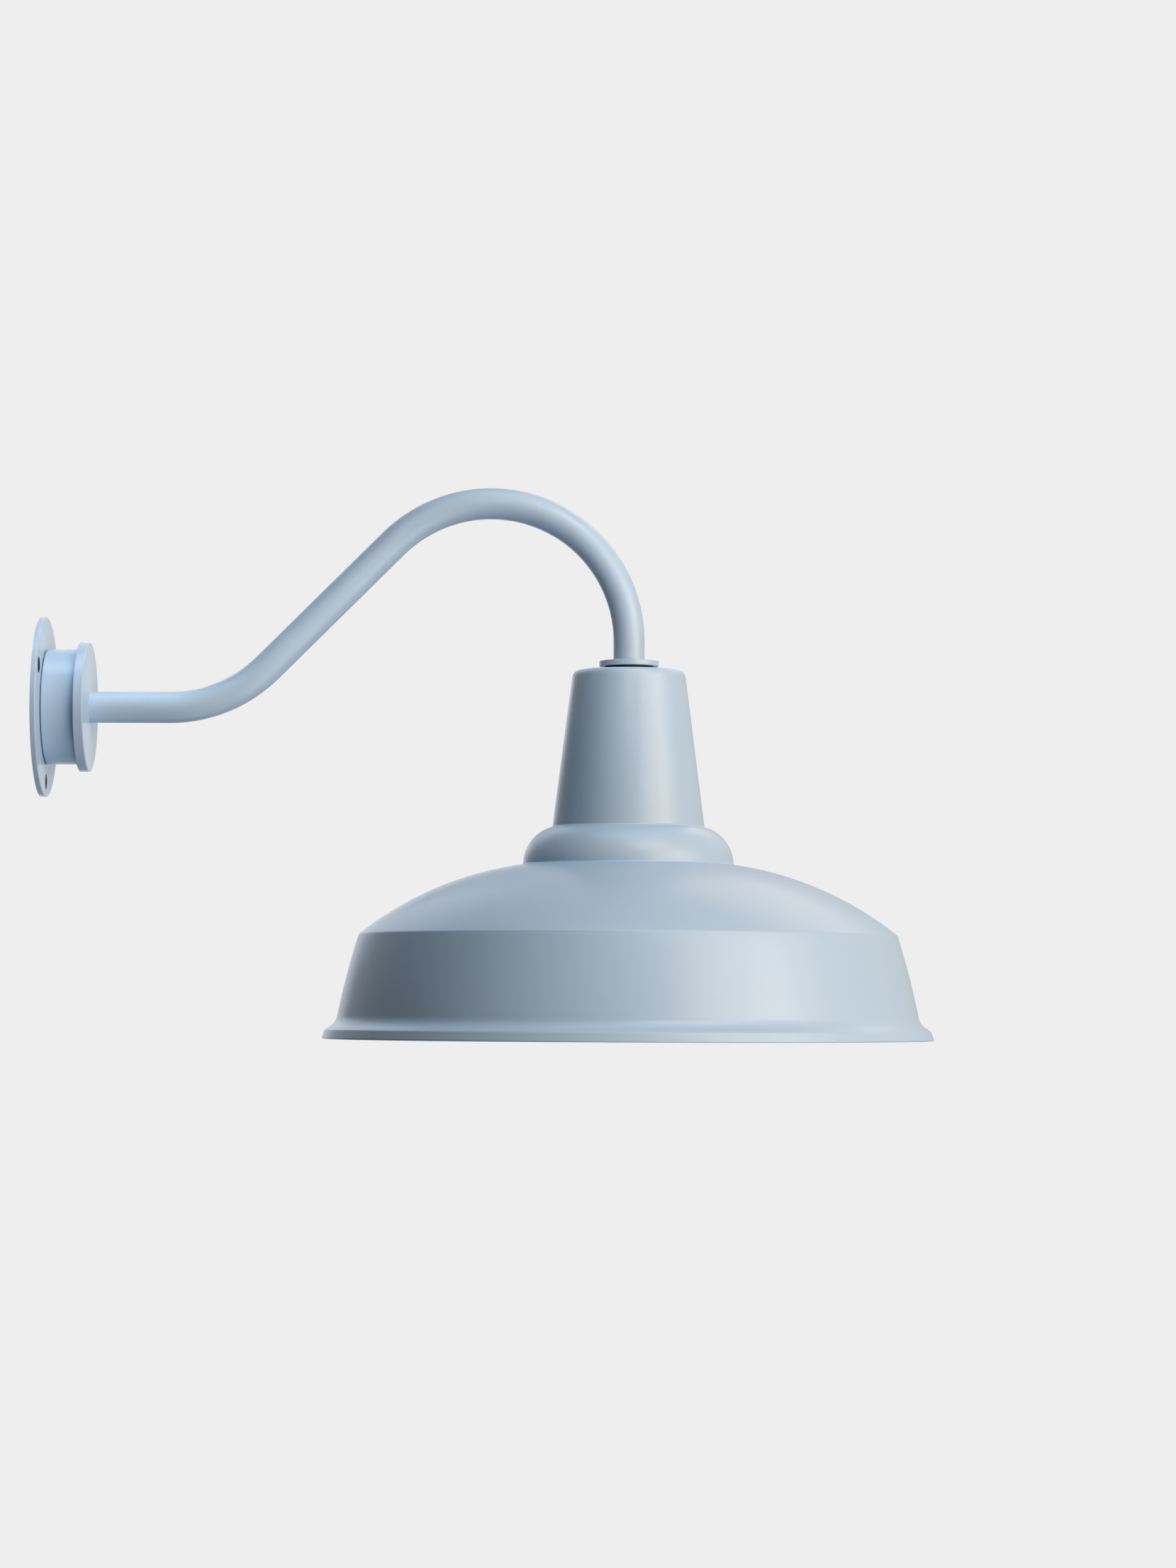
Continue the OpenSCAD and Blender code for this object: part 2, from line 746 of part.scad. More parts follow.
module core_wires() {
    color([0.3, 0.4, 0.65]) {
        // From the flex to the three poles of the block
        for (i = [0 : core_count - 1]) {
            a = 90 - i * 360 / core_count;
            start = [cable_end_x, core_ring_r * cos(a), core_ring_r * sin(a)];
            mouth = [pole_x, -block_y + pole_pitch * (i - (pole_count - 1) / 2), block_w / 2];
            core(
                [
                    start,
                    start + [-core_lead - drum_bore * core_out_shares[i], 0, drum_bore * core_up_shares[i]],
                    mouth + [0, 0, drum_bore * core_drop_shares[i]],
                    mouth
                ],
                [-core_lead, 0, 0],
                [0, 0, -core_seat],
                [1, -1, 0]
            );
        }
        // From the flex to the three posts of the lampholder
        for (i = [0 : core_count - 1]) {
            way = [cos(i * 360 / core_count), sin(i * 360 / core_count), 0];
            start = [lamp_x, 0, sheath_end_z] + core_ring_r * way;
            top = [lamp_x, 0, carrier_top + post_h] + post_r * way;
            core(
                [start, start - [0, 0, core_d], top + [0, 0, 2 * core_d], top],
                [0, 0, -core_lead / 2],
                [0, 0, core_d / 2 - post_bore_depth],
                [-way.y, way.x, 0]
            );
        }
        // From the earth pole to the ring tag
        pole_y = -block_y + pole_pitch * (pole_count - 1) / 2;
        low = [pole_x, pole_y, -block_w / 2];
        tag = [plate_t + tag_barrel_d / 2, earth_y - tag_d / 2 - tag_barrel_l, earth_z];
        core(
            [tag + [0, tag_barrel_l / 2, 0], tag - [0, earth_lead, 0], low - [0, 0, earth_drop], low],
            [0, -core_lead, 0],
            [0, 0, core_seat],
            [1, 0, 0]
        );
    }
}

// Lamp end
module collar() {
    hole_r = nipple_hole_d / 2;
    seat_r = tube_d / 2 + slip;
    color(paint) on_lamp(collar_z) turned(
        rounded(
            [
                [hole_r, 0], [collar_d / 2, 0], [collar_d / 2, collar_t],
                [seat_r, collar_t], [seat_r, collar_t - collar_seat], [hole_r, collar_t - collar_seat]
            ],
            [0, collar_under_edge, collar_edge, 0, 0, 0]
        ),
        fine
    );
}
module collar_gasket() {
    color(black_rubber) on_lamp(neck_top) ring(gasket_d, nipple_hole_d, gasket_t);
}
module threaded_nipple() {
    color(zinc) on_lamp(nipple_bottom) ring(nipple_d, nipple_bore, nipple_top - nipple_bottom);
}

// Outline of the shade's outside, from the hole in its top to the hem
skirt_d = rim_d - 2 * rim_reach;
shoulder_d = skirt_d - 2 * skirt_splay;
flare = atan((neck_bottom_d - neck_top_d) / 2 / neck_h);
corner_c = [
    neck_top_d / 2 + neck_corner_r * tan(flare) - neck_corner_r / cos(flare),
    neck_top - neck_corner_r
];
neck_low = [neck_bottom_d / 2, neck_top - neck_h];
bell_low = [bell_d / 2, neck_top - bell_z];
shoulder = [shoulder_d / 2, neck_top - shoulder_z];
skirt_low = [skirt_d / 2, neck_top - skirt_z];
rim_z = neck_top - shade_h;
skirt_steps = 8;
skirt_arc = arc_to(shoulder, skirt_low, skirt_r, skirt_steps);
skirt_out = -side(skirt_arc[skirt_steps - 1], skirt_low);
hollow_c = skirt_low + rim_hollow_r * skirt_out;
flare_x = rim_d / 2 - rim_flare_r;
flare_c = [flare_x, hollow_c.y - sqrt(pow(rim_hollow_r + rim_flare_r, 2) - pow(hollow_c.x - flare_x, 2))];
flare_from = bearing(hollow_c - flare_c);
rim_low = [flare_c.x + sqrt(pow(rim_flare_r, 2) - pow(rim_z - flare_c.y, 2)), rim_z];
shade_outside = concat(
    [[nipple_hole_d / 2, neck_top]],
    arc(corner_c, neck_corner_r, 90, flare, 6),
    arc_to(neck_low, bell_low, bell_r, 10),
    tail(arc_to(bell_low, shoulder, dome_r, 18)),
    tail(skirt_arc),
    tail(arc(hollow_c, rim_hollow_r, bearing(-skirt_out), flare_from - 180, 6)),
    tail(arc(flare_c, rim_flare_r, flare_from, bearing(rim_low - flare_c), 6)),
    [rim_low - [hem_w, 0]]
);
module shade() {
    color(paint) on_lamp(0) turned(concat(shade_outside, reversed(moved(shade_outside, sheet_t))), fine);
}
module shade_washer() {
    color(zinc) on_lamp(neck_top - sheet_t - shade_washer_t)
        ring(shade_washer_d, nipple_hole_d, shade_washer_t);
}
module shade_lock_nut() {
    color(zinc) on_lamp(cap_top) hex_nut(shade_nut_af, nipple_d + 2 * slip, shade_nut_t);
}

// Lampholder
module holder_cap() {
    outer = holder_d / 2;
    inner = outer - cap_wall;
    boss = cap_boss_d / 2;
    bore = nipple_d / 2 + slip;
    web = cap_boss_h + cap_web_t;
    color(zinc) difference() {
        on_lamp(cap_top) turned(concat(
            [[bore, 0], [boss, 0]],
            arc_to([boss, -cap_boss_h], [outer, -cap_boss_h - cap_dome_h], cap_dome_h + cap_wall, 8),
            [[outer, -cap_h], [inner, -cap_h]],
            reversed(arc_to([boss, -web], [inner, -cap_boss_h - cap_dome_h], cap_dome_h, 8)),
            [[bore, -web]]
        ));
        grip_screw_place() translate([0, 0, -over])
            cylinder(d = grip_screw_d + 2 * slip, h = boss + over, $fn = plain);
    }
}
module grip_screw_place() {
    on_lamp(cap_top - cap_boss_h / 2) rotate([0, 90, 0]) translate([0, 0, nipple_d / 2 + slip]) children();
}
module holder_grip_screw() {
    color(zinc) grip_screw_place() slotted(grip_screw_d, cap_boss_d / 2 - nipple_d / 2);
}
module holder_skirt() {
    outer = holder_d / 2;
    color(phenolic) difference() {
        on_lamp(0) turned(rounded(
            [
                [skirt_bore / 2, mouth_z],
                [outer, mouth_z],
                [outer, cap_bottom],
                [skirt_spigot_d / 2, cap_bottom],
                [skirt_spigot_d / 2, cap_bottom + skirt_spigot_h],
                [carrier_d / 2 + carrier_play, cap_bottom + skirt_spigot_h],
                [carrier_d / 2 + carrier_play, ledge_z],
                [skirt_bore / 2, ledge_z]
            ],
            [cap_wall / 2, cap_wall, 0, 0, 0, 0, 0, 0]
        ), fine);
        for (i = [0 : grip_groove_count - 1])
            on_lamp(cap_bottom - grip_groove_first - i * grip_groove_pitch)
                ring(2 * outer, 2 * outer - 2 * grip_groove_depth, grip_groove_w, fine);
    }
}
module contact_carrier() {
    color(porcelain) difference() {
        on_lamp(carrier_bottom) cylinder(d = carrier_d, h = carrier_t, $fn = plain);
        on_lamp(carrier_bottom - over) cylinder(d = pocket_d, h = pocket_depth + over, $fn = plain);
        on_lamp(carrier_bottom - over)
            cylinder(d = stem_d + 2 * stem_play, h = carrier_t + 2 * over, $fn = plain);
    }
}
module at_posts() {
    for (i = [0 : core_count - 1])
        on_lamp(carrier_top) rotate([0, 0, i * 360 / core_count]) translate([post_r, 0, 0]) children();
}
module holder_terminals() {
    color(brass) at_posts() difference() {
        cylinder(d = post_d, h = post_h, $fn = plain);
        translate([0, 0, post_h - post_bore_depth])
            cylinder(d = post_bore, h = post_bore_depth + over, $fn = plain);
        translate([0, 0, post_h / 2]) rotate([0, 90, 0])
            cylinder(d = post_screw_d + 2 * slip, h = post_d, $fn = plain);
    }
}
module holder_terminal_screws() {
    color(zinc) at_posts() translate([post_screw_inset, 0, post_h / 2]) rotate([0, 90, 0])
        slotted(post_screw_d, post_d / 2 - slip - post_screw_inset + slot_depth);
}
module screw_shell() {
    inner = shell_bore / 2;
    outer = inner + shell_t;
    low = mouth_z + shell_lip;
    color(brass) on_lamp(0) turned([
        [inner, low], [outer, low], [outer, ledge_z], [carrier_d / 2, ledge_z],
        [carrier_d / 2, carrier_bottom], [inner, carrier_bottom]
    ], fine);
}
module centre_contact() {
    clip_z = carrier_top + slip;
    color(brass) {
        on_lamp(button_z) cylinder(d = button_d, h = button_t, $fn = plain);
        on_lamp(button_z) cylinder(d = stem_d, h = clip_z + stem_rise - button_z, $fn = plain);
        on_lamp(clip_z) cylinder(d = clip_d, h = clip_t, $fn = plain);
    }
}
module contact_spring() {
    low = button_z + button_t + slip + spring_wire_d / 2;
    high = carrier_bottom + pocket_depth - slip - spring_wire_d / 2;
    pitch = (high - low) / spring_turns;
    color(zinc) on_lamp(low) skin([for (i = [0 : spring_turns * spring_steps])
        let (a = 360 * i / spring_steps, out = [cos(a), sin(a), 0])
        [for (j = [0 : spring_sides - 1])
            let (w = -360 * j / spring_sides)
            out * (spring_d / 2 + spring_wire_d / 2 * cos(w))
                + [0, 0, pitch * i / spring_steps + spring_wire_d / 2 * sin(w)]]]);
}

// Bulb
module bulb_eyelet() {
    color(zinc) on_lamp(bulb_tip - eyelet_t) turned(rounded(
        [[0, 0], [eyelet_d / 2, 0], [eyelet_d / 2, eyelet_t], [0, eyelet_t]],
        [0, 0, eyelet_t / 2, 0]
    ));
}
module bulb_insulator() {
    color(phenolic) on_lamp(bulb_cap_top)
        cylinder(d1 = insulator_d, d2 = eyelet_d, h = insulator_t, $fn = plain);
}
module bulb_cap() {
    outer = bulb_cap_d / 2;
    inner = outer - bulb_cap_wall;
    color(brass) on_lamp(bulb_cap_top) turned([
        [0, 0], [insulator_d / 2, 0], [outer, -cap_shoulder], [outer, -bulb_cap_l],
        [inner, -bulb_cap_l], [inner, -cap_shoulder - bulb_cap_wall], [0, -cap_shoulder - bulb_cap_wall]
    ], fine);
}
module bulb_glass() {
    r = bulb_d / 2;
    sweep_z = sqrt(pow(r + glass_sweep_r, 2) - pow(glass_neck_r + glass_sweep_r, 2));
    sweep_c = [glass_neck_r + glass_sweep_r, sweep_z];
    meet = bearing(sweep_c);
    tail_r = bulb_cap_d / 2 - bulb_cap_wall - slip;
    tail_z = bulb_cap_bottom - bulb_z;
    outside = concat(
        [[glass_neck_r, tail_z - slip]],
        arc(sweep_c, glass_sweep_r, 180, 180 + meet, 10),
        tail(arc([0, 0], r, meet, -90, 20))
    );
    inside = moved(outside, glass_t);
    color(glass) on_lamp(bulb_z) turned(concat(
        [[tail_r - glass_t, tail_z + glass_tail_l], [tail_r, tail_z + glass_tail_l], [tail_r, tail_z - slip]],
        [for (i = [0 : len(outside) - 2]) outside[i]],
        [[0, -r], [0, glass_t - r]],
        reversed([for (i = [1 : len(inside) - 2]) inside[i]]),
        [[tail_r - glass_t, inside[0].y]]
    ), fine);
}
module bulb_stem() {
    flare_r = bulb_cap_d / 2 - bulb_cap_wall - glass_t - 2 * slip;
    rod = stem_rod_d / 2;
    top = bulb_cap_bottom + stem_flare_t;
    color(glass) on_lamp(0) turned([
        [0, filament_low_z - support_d],
        [rod, filament_low_z - support_d],
        [rod, bulb_cap_bottom - stem_pinch_l - stem_flare_t],
        [stem_pinch_d / 2, bulb_cap_bottom - stem_pinch_l],
        [stem_pinch_d / 2, bulb_cap_bottom - stem_flare_t],
        [flare_r, top - stem_flare_t / 2],
        [flare_r, top],
        [0, top]
    ]);
}
module led_filaments() {
    high = [filament_top_r, 0, filament_top_z];
    low = [filament_low_r, 0, filament_low_z];
    lean = atan((filament_low_r - filament_top_r) / (filament_top_z - filament_low_z));
    color([0.95, 0.8, 0.35]) for (i = [0 : filament_count - 1])
        on_lamp(0) rotate([0, 0, i * 360 / filament_count]) {
            translate(low) rotate([0, -lean, 0]) cylinder(d = filament_d, h = norm(high - low), $fn = plain);
            for (p = [high, low])
                translate([stem_rod_d / 2 + slip, 0, p.z]) rotate([0, 90, 0])
                    cylinder(d = support_d, h = p.x - stem_rod_d / 2, $fn = plain);
        }
}

wall_plate();
cable_grommet();
drum_seal();
canopy_drum();
drum_screws();
canopy_cover();
cover_seal();
cover_screws();
terminal_block();
terminal_tubes();
terminal_screws();
earth_screw();
earth_tag();
arm_tube();
wall_bush();
arm_washer();
arm_lock_nut();
lamp_bush();
arm_cable();
core_wires();
collar();
collar_gasket();
threaded_nipple();
shade();
shade_washer();
shade_lock_nut();
holder_cap();
holder_grip_screw();
holder_skirt();
contact_carrier();
holder_terminals();
holder_terminal_screws();
screw_shell();
centre_contact();
contact_spring();
bulb_eyelet();
bulb_insulator();
bulb_cap();
bulb_glass();
bulb_stem();
led_filaments();
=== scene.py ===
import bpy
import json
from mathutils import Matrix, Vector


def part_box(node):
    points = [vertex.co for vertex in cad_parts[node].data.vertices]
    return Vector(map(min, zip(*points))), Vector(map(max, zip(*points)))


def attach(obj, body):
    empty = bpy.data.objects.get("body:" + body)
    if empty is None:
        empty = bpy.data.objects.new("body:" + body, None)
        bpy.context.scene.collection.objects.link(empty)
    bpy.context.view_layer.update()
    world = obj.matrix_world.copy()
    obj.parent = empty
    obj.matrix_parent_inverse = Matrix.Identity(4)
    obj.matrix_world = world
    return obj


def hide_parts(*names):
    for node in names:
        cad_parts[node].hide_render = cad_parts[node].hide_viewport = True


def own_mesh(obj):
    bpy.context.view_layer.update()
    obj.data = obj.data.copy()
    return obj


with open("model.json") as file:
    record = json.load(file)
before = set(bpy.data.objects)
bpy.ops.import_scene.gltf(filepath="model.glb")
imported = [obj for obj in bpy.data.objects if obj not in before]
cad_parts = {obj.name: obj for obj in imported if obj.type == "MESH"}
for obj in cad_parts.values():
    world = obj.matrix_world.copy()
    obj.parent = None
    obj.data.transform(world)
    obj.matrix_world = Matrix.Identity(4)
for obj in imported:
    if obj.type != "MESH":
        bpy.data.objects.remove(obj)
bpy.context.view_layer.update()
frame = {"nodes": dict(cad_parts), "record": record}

import cmath
import json
import math

import bmesh
import bpy
from bpy.props import FloatProperty, FloatVectorProperty, IntProperty, PointerProperty
from mathutils import Matrix, Vector

bl_info = {
    "name": "Barn light",
    "version": (1, 0, 0),
    "blender": (4, 5, 0),
    "location": "View3D > Sidebar > Barn light",
    "description": "Dresses the packed barn light: shade, arm, threads, spring, wiring, finishes and a plain studio",
    "category": "Object",
}

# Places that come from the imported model, in metres
SHADE_LOW, SHADE_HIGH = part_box("shade")
LAMP = Vector(((SHADE_LOW.x + SHADE_HIGH.x) / 2, 0, 0))
NECK_TOP = SHADE_HIGH.z
ARM_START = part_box("arm_tube")[0].x
ARM_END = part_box("lamp_bush")[0].z
PLATE_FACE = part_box("wall_plate")[1].x

# Materials by the name of their slot, once they are made
FINISHES = {}
# Handles of the curve of the earth core from its tag to the block
TAG_HANDLE, MOUTH_HANDLE = 0.007, 0.011
# Wall cores: sleeve, and the curve's handles as shares of the drum's bore: out of the flex, upwards, above the block
WALL_CORES = (
    ("live", 0.0863, 0.4014, 0.3683), ("neutral", 0.2288, 0.1525, 0.5036), ("earth", 0.2273, 0.1683, 0.1079),
)
# Softboxes: what they point at, distance, azimuth and elevation in degrees, size, spread in degrees, warmth 0 to 1
SHADE_AIM, CANOPY_AIM, ARM_AIM = (0.386, 0, -0.08), (0.02, 0, 0), (0.24, 0, 0.05)
LAMPS = (
    ("front", SHADE_AIM, 2.6, 45, 10, (2.2, 2.2), 180, 1.0),
    ("key", SHADE_AIM, 2.6, 60, 5, (1.2, 2.2), 180, 1.0),
    ("high", SHADE_AIM, 2.6, 30, 50, (1.6, 1.2), 180, 0.48),
    ("bounce", SHADE_AIM, 2.6, 30, -40, (1.6, 1.2), 180, 0.0),
    ("top", SHADE_AIM, 2.6, 0, 85, (2.0, 1.4), 180, 0.0),
    ("strip", SHADE_AIM, 2.6, 35, 12, (0.4, 2.2), 180, 1.0),
    ("side", SHADE_AIM, 2.6, 80, 12, (0.4, 2.2), 180, 1.0),
    ("back", SHADE_AIM, 2.6, 155, 40, (1.2, 1.2), 180, 1.0),
    ("rear", SHADE_AIM, 2.6, -150, 25, (1.2, 1.6), 180, 0.3),
    ("wall", SHADE_AIM, 2.6, -165, -5, (1.6, 1.6), 180, 0.3),
    ("below", SHADE_AIM, 2.6, 0, -85, (1.2, 1.2), 180, 0.5),
    ("canopy_top", CANOPY_AIM, 0.9, 0, 80, (0.2, 0.2), 14, 0.2),
    ("canopy_left", CANOPY_AIM, 0.9, -60, 55, (0.2, 0.2), 14, 0.0),
    ("arm_front", ARM_AIM, 1.0, 0, 20, (0.3, 0.1), 12, 0.75),
    ("arm_top", ARM_AIM, 1.0, 0, 80, (0.4, 0.3), 20, 0.0),
)


# Settings that a user would change

def length(name, description, default):
    return FloatProperty(name=name, description=description, default=default, min=0, unit="LENGTH", precision=5)


def colour(name, description, default):
    return FloatVectorProperty(
        name=name, description=description, default=default, size=3, min=0, max=1, subtype="COLOR")


def share(name, description, default):
    return FloatProperty(name=name, description=description, default=default, min=0, max=1, subtype="FACTOR")


def angle(name, description, degrees):
    return FloatProperty(name=name, description=description, default=math.radians(degrees), subtype="ANGLE")


def power(name, description, default):
    return FloatProperty(name=name, description=description, default=default, min=0, unit="POWER")


def count(name, description, default):
    return IntProperty(name=name, description=description, default=default, min=1)


class ShadeSettings(bpy.types.PropertyGroup):
    """Sizes of the spun shade"""
    sheet: length("Sheet", "Thickness of the spun sheet", 0.0015)
    hole: length("Hole", "Radius of the hole in the top of the neck", 0.00525)
    neck_top: length("Neck top", "Radius where the neck's cone would meet its top", 0.0367)
    neck_low: length("Neck low", "Radius of the neck at the bell", 0.0499)
    neck_height: length("Neck height", "Depth of the neck's lower end", 0.1028)
    neck_corner: length("Neck corner", "Radius between the neck and its top", 0.005)
    bell: length("Bell", "Radius of the bell at the dome", 0.069)
    bell_depth: length("Bell depth", "Depth of the bell's lower edge", 0.1276)
    bell_round: length("Bell round", "Radius of the bell's swell", 0.0255)
    shoulder: length("Shoulder", "Radius where the dome meets the skirt", 0.176)
    shoulder_depth: length("Shoulder depth", "Depth of the shoulder", 0.1735)
    dome_round: length("Dome round", "Radius of the dome's swell", 0.219)
    skirt: length("Skirt", "Radius of the skirt's lower end", 0.1897)
    skirt_depth: length("Skirt depth", "Depth of the skirt's lower end", 0.2265)
    skirt_round: length("Skirt round", "Radius of the skirt's slight swell", 0.493)
    hollow_round: length("Hollow", "Radius of the hollow above the rim", 0.01)
    flare: angle("Flare", "Fall of the flare", 33)
    lip: length("Lip", "Height of the band below the flare", 0.0062)
    lip_lean: length("Lip lean", "How far the band leans out", 0.0022)
    lip_round: length("Lip round", "Radius between the flare and the band", 0.0017)
    rim: length("Rim", "Radius of the rim", 0.2)
    height: length("Height", "Height of the shade", 0.242)
    hem: length("Hem", "Width of the turned-in hem", 0.005)
    crease: length("Crease", "Radius of the tool marks where two spun forms meet", 0.0011)
    segments: count("Segments", "Faces round the shade", 256)


class ArmSettings(bpy.types.PropertyGroup):
    """Sizes of the bent tube"""
    radius: length("Radius", "Outside radius of the tube", 0.01025)
    wall: length("Wall", "Wall of the tube", 0.002)
    bend: length("Bend", "Radius of both bends at the tube's centre", 0.091)
    first: length("First straight", "From the seat to the first bend", 0.056)
    rise: length("Rise", "Straight rising length", 0.116)
    slope: angle("Slope", "Slope of the rising length", 45)
    sides: count("Sides", "Faces round the tube", 72)


class ScrewSettings(bpy.types.PropertyGroup):
    """Sizes of the wall screws"""
    circle: length("Circle", "Radius of the circle on which the screws lie", 0.049)
    head: length("Head", "Radius of the countersunk head", 0.0051)
    shank: length("Shank", "Radius of the shank", 0.0024)
    sink: length("Sink", "How far the head lies below the plate's face", 0.0002)
    recess: length("Recess", "Width of the cross recess's wings", 0.001)
    number: count("Number", "Screws in the plate", 3)


class ThreadSettings(bpy.types.PropertyGroup):
    """Sizes of the rolled screw threads of the lampholder and the bulb"""
    lead: length("Lead", "Travel of the thread in one turn", 0.003629)
    depth: length("Depth", "Half the height of the rolled wave", 0.00045)
    sheet: length("Sheet", "Thickness of the rolled sheet", 0.0006)
    run_out: length("Run-out", "Length in which the thread fades at either end", 0.0015)
    lip: length("Lip", "Plain length at the mouth of either sheet", 0.0012)
    bore: length("Bore", "Radius of the shell's bore at the thread's crests", 0.01345)
    shoulder: length("Shoulder", "Radius of the cap's flat end", 0.0118)
    edge: length("Edge", "Width of the bevel round the cap's flat end", 0.0003)
    segments: count("Segments", "Faces round the thread", 120)
    step: length("Step", "Distance between the rings of the thread", 0.00027)


class SpringSettings(bpy.types.PropertyGroup):
    """Sizes of the contact's spring"""
    turns: count("Turns", "Turns of the spring", 5)
    coil: length("Coil", "Radius of the coil at the wire's middle", 0.0022)
    wire: length("Wire", "Radius of the wire", 0.00025)


class WireSettings(bpy.types.PropertyGroup):
    """Sizes and colours of the cores, and sizes of what they run to"""
    radius: length("Radius", "Radius of a core", 0.0011)
    ring: length("Ring", "Distance of the cores from the middle of the flex", 0.0016)
    sides: count("Sides", "Faces round a core", 20)
    drum_wall: length("Drum wall", "Wall of the drum", 0.003)
    tube: length("Tube", "Diameter of a tube of the terminal block", 0.0048)
    tube_depth: length("Tube depth", "How deep the tubes lie in the block", 0.001)
    lead: length("Lead", "Straight length of a core out of the flex", 0.0016)
    reach: length("Reach", "How far a core runs into the block", 0.0065)
    posts: length("Posts", "Distance of the lampholder's posts from its axis", 0.01)
    post_lead: length("Post lead", "Straight length of a core above the lampholder", 0.0008)
    post_hole: length("Post hole", "Depth of a post's hole, of which a core fills all but its own radius", 0.004)
    tag_height: length("Tag height", "From the back of the ring tag to its core", 0.0016)
    tag_reach: length("Tag reach", "How far the earth core runs into its tag", 0.002)
    live: colour("Live", "Sleeve of the live core", (0.13, 0.045, 0.018))
    neutral: colour("Neutral", "Sleeve of the neutral core", (0.015, 0.1, 0.42))
    earth: colour("Earth", "Main colour of the earth core", (0.06, 0.3, 0.05))
    stripe: colour("Stripe", "Stripe of the earth core", (0.75, 0.6, 0.03))


class FinishSettings(bpy.types.PropertyGroup):
    """Colours and roughness of the finishes"""
    paint: colour("Paint", "Powder coat outside", (0.385, 0.53, 0.69))
    paint_roughness: share("Paint roughness", "Roughness of the powder coat", 0.5)
    inner: colour("Inside", "Powder coat inside the shade", (0.82, 0.82, 0.8))
    rubber: colour("Rubber", "Gaskets and grommet", (0.012, 0.012, 0.013))
    # Seal behind the drum, partly real and partly painted shade: its dark blue is the tone of the thin contact shadow
    # between drum and wall plate, not black rubber
    seal: colour("Seal", "Seal behind the drum", (0.1, 0.15, 0.24))
    zinc: colour("Zinc", "Plated steel", (0.62, 0.63, 0.64))
    brass: colour("Brass", "Contacts and terminals", (0.72, 0.5, 0.2))
    nylon: colour("Nylon", "Terminal block", (0.76, 0.75, 0.69))
    phenolic: colour("Phenolic", "Lampholder's skirt", (0.014, 0.012, 0.011))
    porcelain: colour("Porcelain", "Lampholder's insert", (0.83, 0.81, 0.76))
    phosphor: colour("Phosphor", "Filaments of the bulb", (0.85, 0.5, 0.05))


class StageSettings(bpy.types.PropertyGroup):
    """Studio round the object"""
    backdrop: share("Backdrop", "Level of the pale backdrop", 0.855)
    glow_back: share("Backdrop glow", "What gloss shows of the backdrop behind", 0.485)
    glow_top: share("Ceiling glow", "What gloss shows of the ceiling", 0.24)
    glow_right: share("Side glow", "What gloss shows of the right side", 0.2)
    fill: share("Fill", "Level of the soft light from all sides", 0.05)
    warm: colour("Warm", "Colour of the warm lamps", (1, 0.78, 0.58))
    cool: colour("Cool", "Colour of the cool lamps", (0.65, 0.82, 1))
    front: power("Front", "Large softbox on the right of the camera", 41)
    key: power("Key", "Tall softbox on the right", 20)
    high: power("High", "Softbox above the camera", 29.5)
    bounce: power("Bounce", "Reflector below the camera", 19)
    top: power("Top", "Softbox overhead", 15)
    strip: power("Strip", "Narrow softbox beside the camera", 3.8)
    side: power("Side", "Narrow softbox at the side", 3.4)
    back: power("Back", "Softbox behind, on the right", 5)
    rear: power("Rear", "Softbox behind, on the left", 5)
    wall: power("Wall", "Level softbox behind", 9)
    below: power("Below", "Softbox under the shade", 9)
    canopy_top: power("Canopy top", "Small softbox above the canopy", 0.04)
    canopy_left: power("Canopy left", "Small softbox on the canopy's left", 0.018)
    arm_front: power("Arm front", "Small softbox in front of the arm", 0.03)
    arm_top: power("Arm top", "Small softbox above the arm", 0.015)
    floor_drop: length("Floor", "Depth of the floor below the wall plate's axis", 3.4)
    floor_middle: length("Floor middle", "Distance of the floor's middle from the wall", 0.3)
    floor_size: length("Floor size", "Radius of the floor", 6)
    floor_glow: share("Floor glow", "Share of the backdrop's level in what is seen of the floor", 0.9)
    lens: FloatProperty(name="Lens", description="Focal length of the camera", default=95.13, unit="CAMERA")
    place: FloatVectorProperty(
        name="Place", description="Place of the camera", default=(0.36867, -2.7150, -0.19316), subtype="TRANSLATION")
    pitch: angle("Pitch", "How far the camera looks up", 3.036)
    yaw: angle("Yaw", "How far the camera is turned to the left", 0.201)
    roll: angle("Roll", "How far the camera leans to the left", 0.24)


class BarnLightSettings(bpy.types.PropertyGroup):
    """All settings of the barn light"""
    shade: PointerProperty(type=ShadeSettings)
    arm: PointerProperty(type=ArmSettings)
    screws: PointerProperty(type=ScrewSettings)
    threads: PointerProperty(type=ThreadSettings)
    spring: PointerProperty(type=SpringSettings)
    wires: PointerProperty(type=WireSettings)
    finish: PointerProperty(type=FinishSettings)
    stage: PointerProperty(type=StageSettings)


# Node trees written as expressions

class Wire:
    """An output of a node. Sums and products of wires and numbers add Math nodes."""

    def __init__(self, graph, socket):
        self.graph, self.socket = graph, socket

    def __add__(self, other):
        return self.graph.maths("ADD", self, other)

    def __sub__(self, other):
        return self.graph.maths("SUBTRACT", self, other)

    def __rsub__(self, other):
        return self.graph.maths("SUBTRACT", other, self)

    def __mul__(self, other):
        return self.graph.maths("MULTIPLY", self, other)

    def __truediv__(self, other):
        return self.graph.maths("DIVIDE", self, other)

    __radd__, __rmul__ = __add__, __mul__


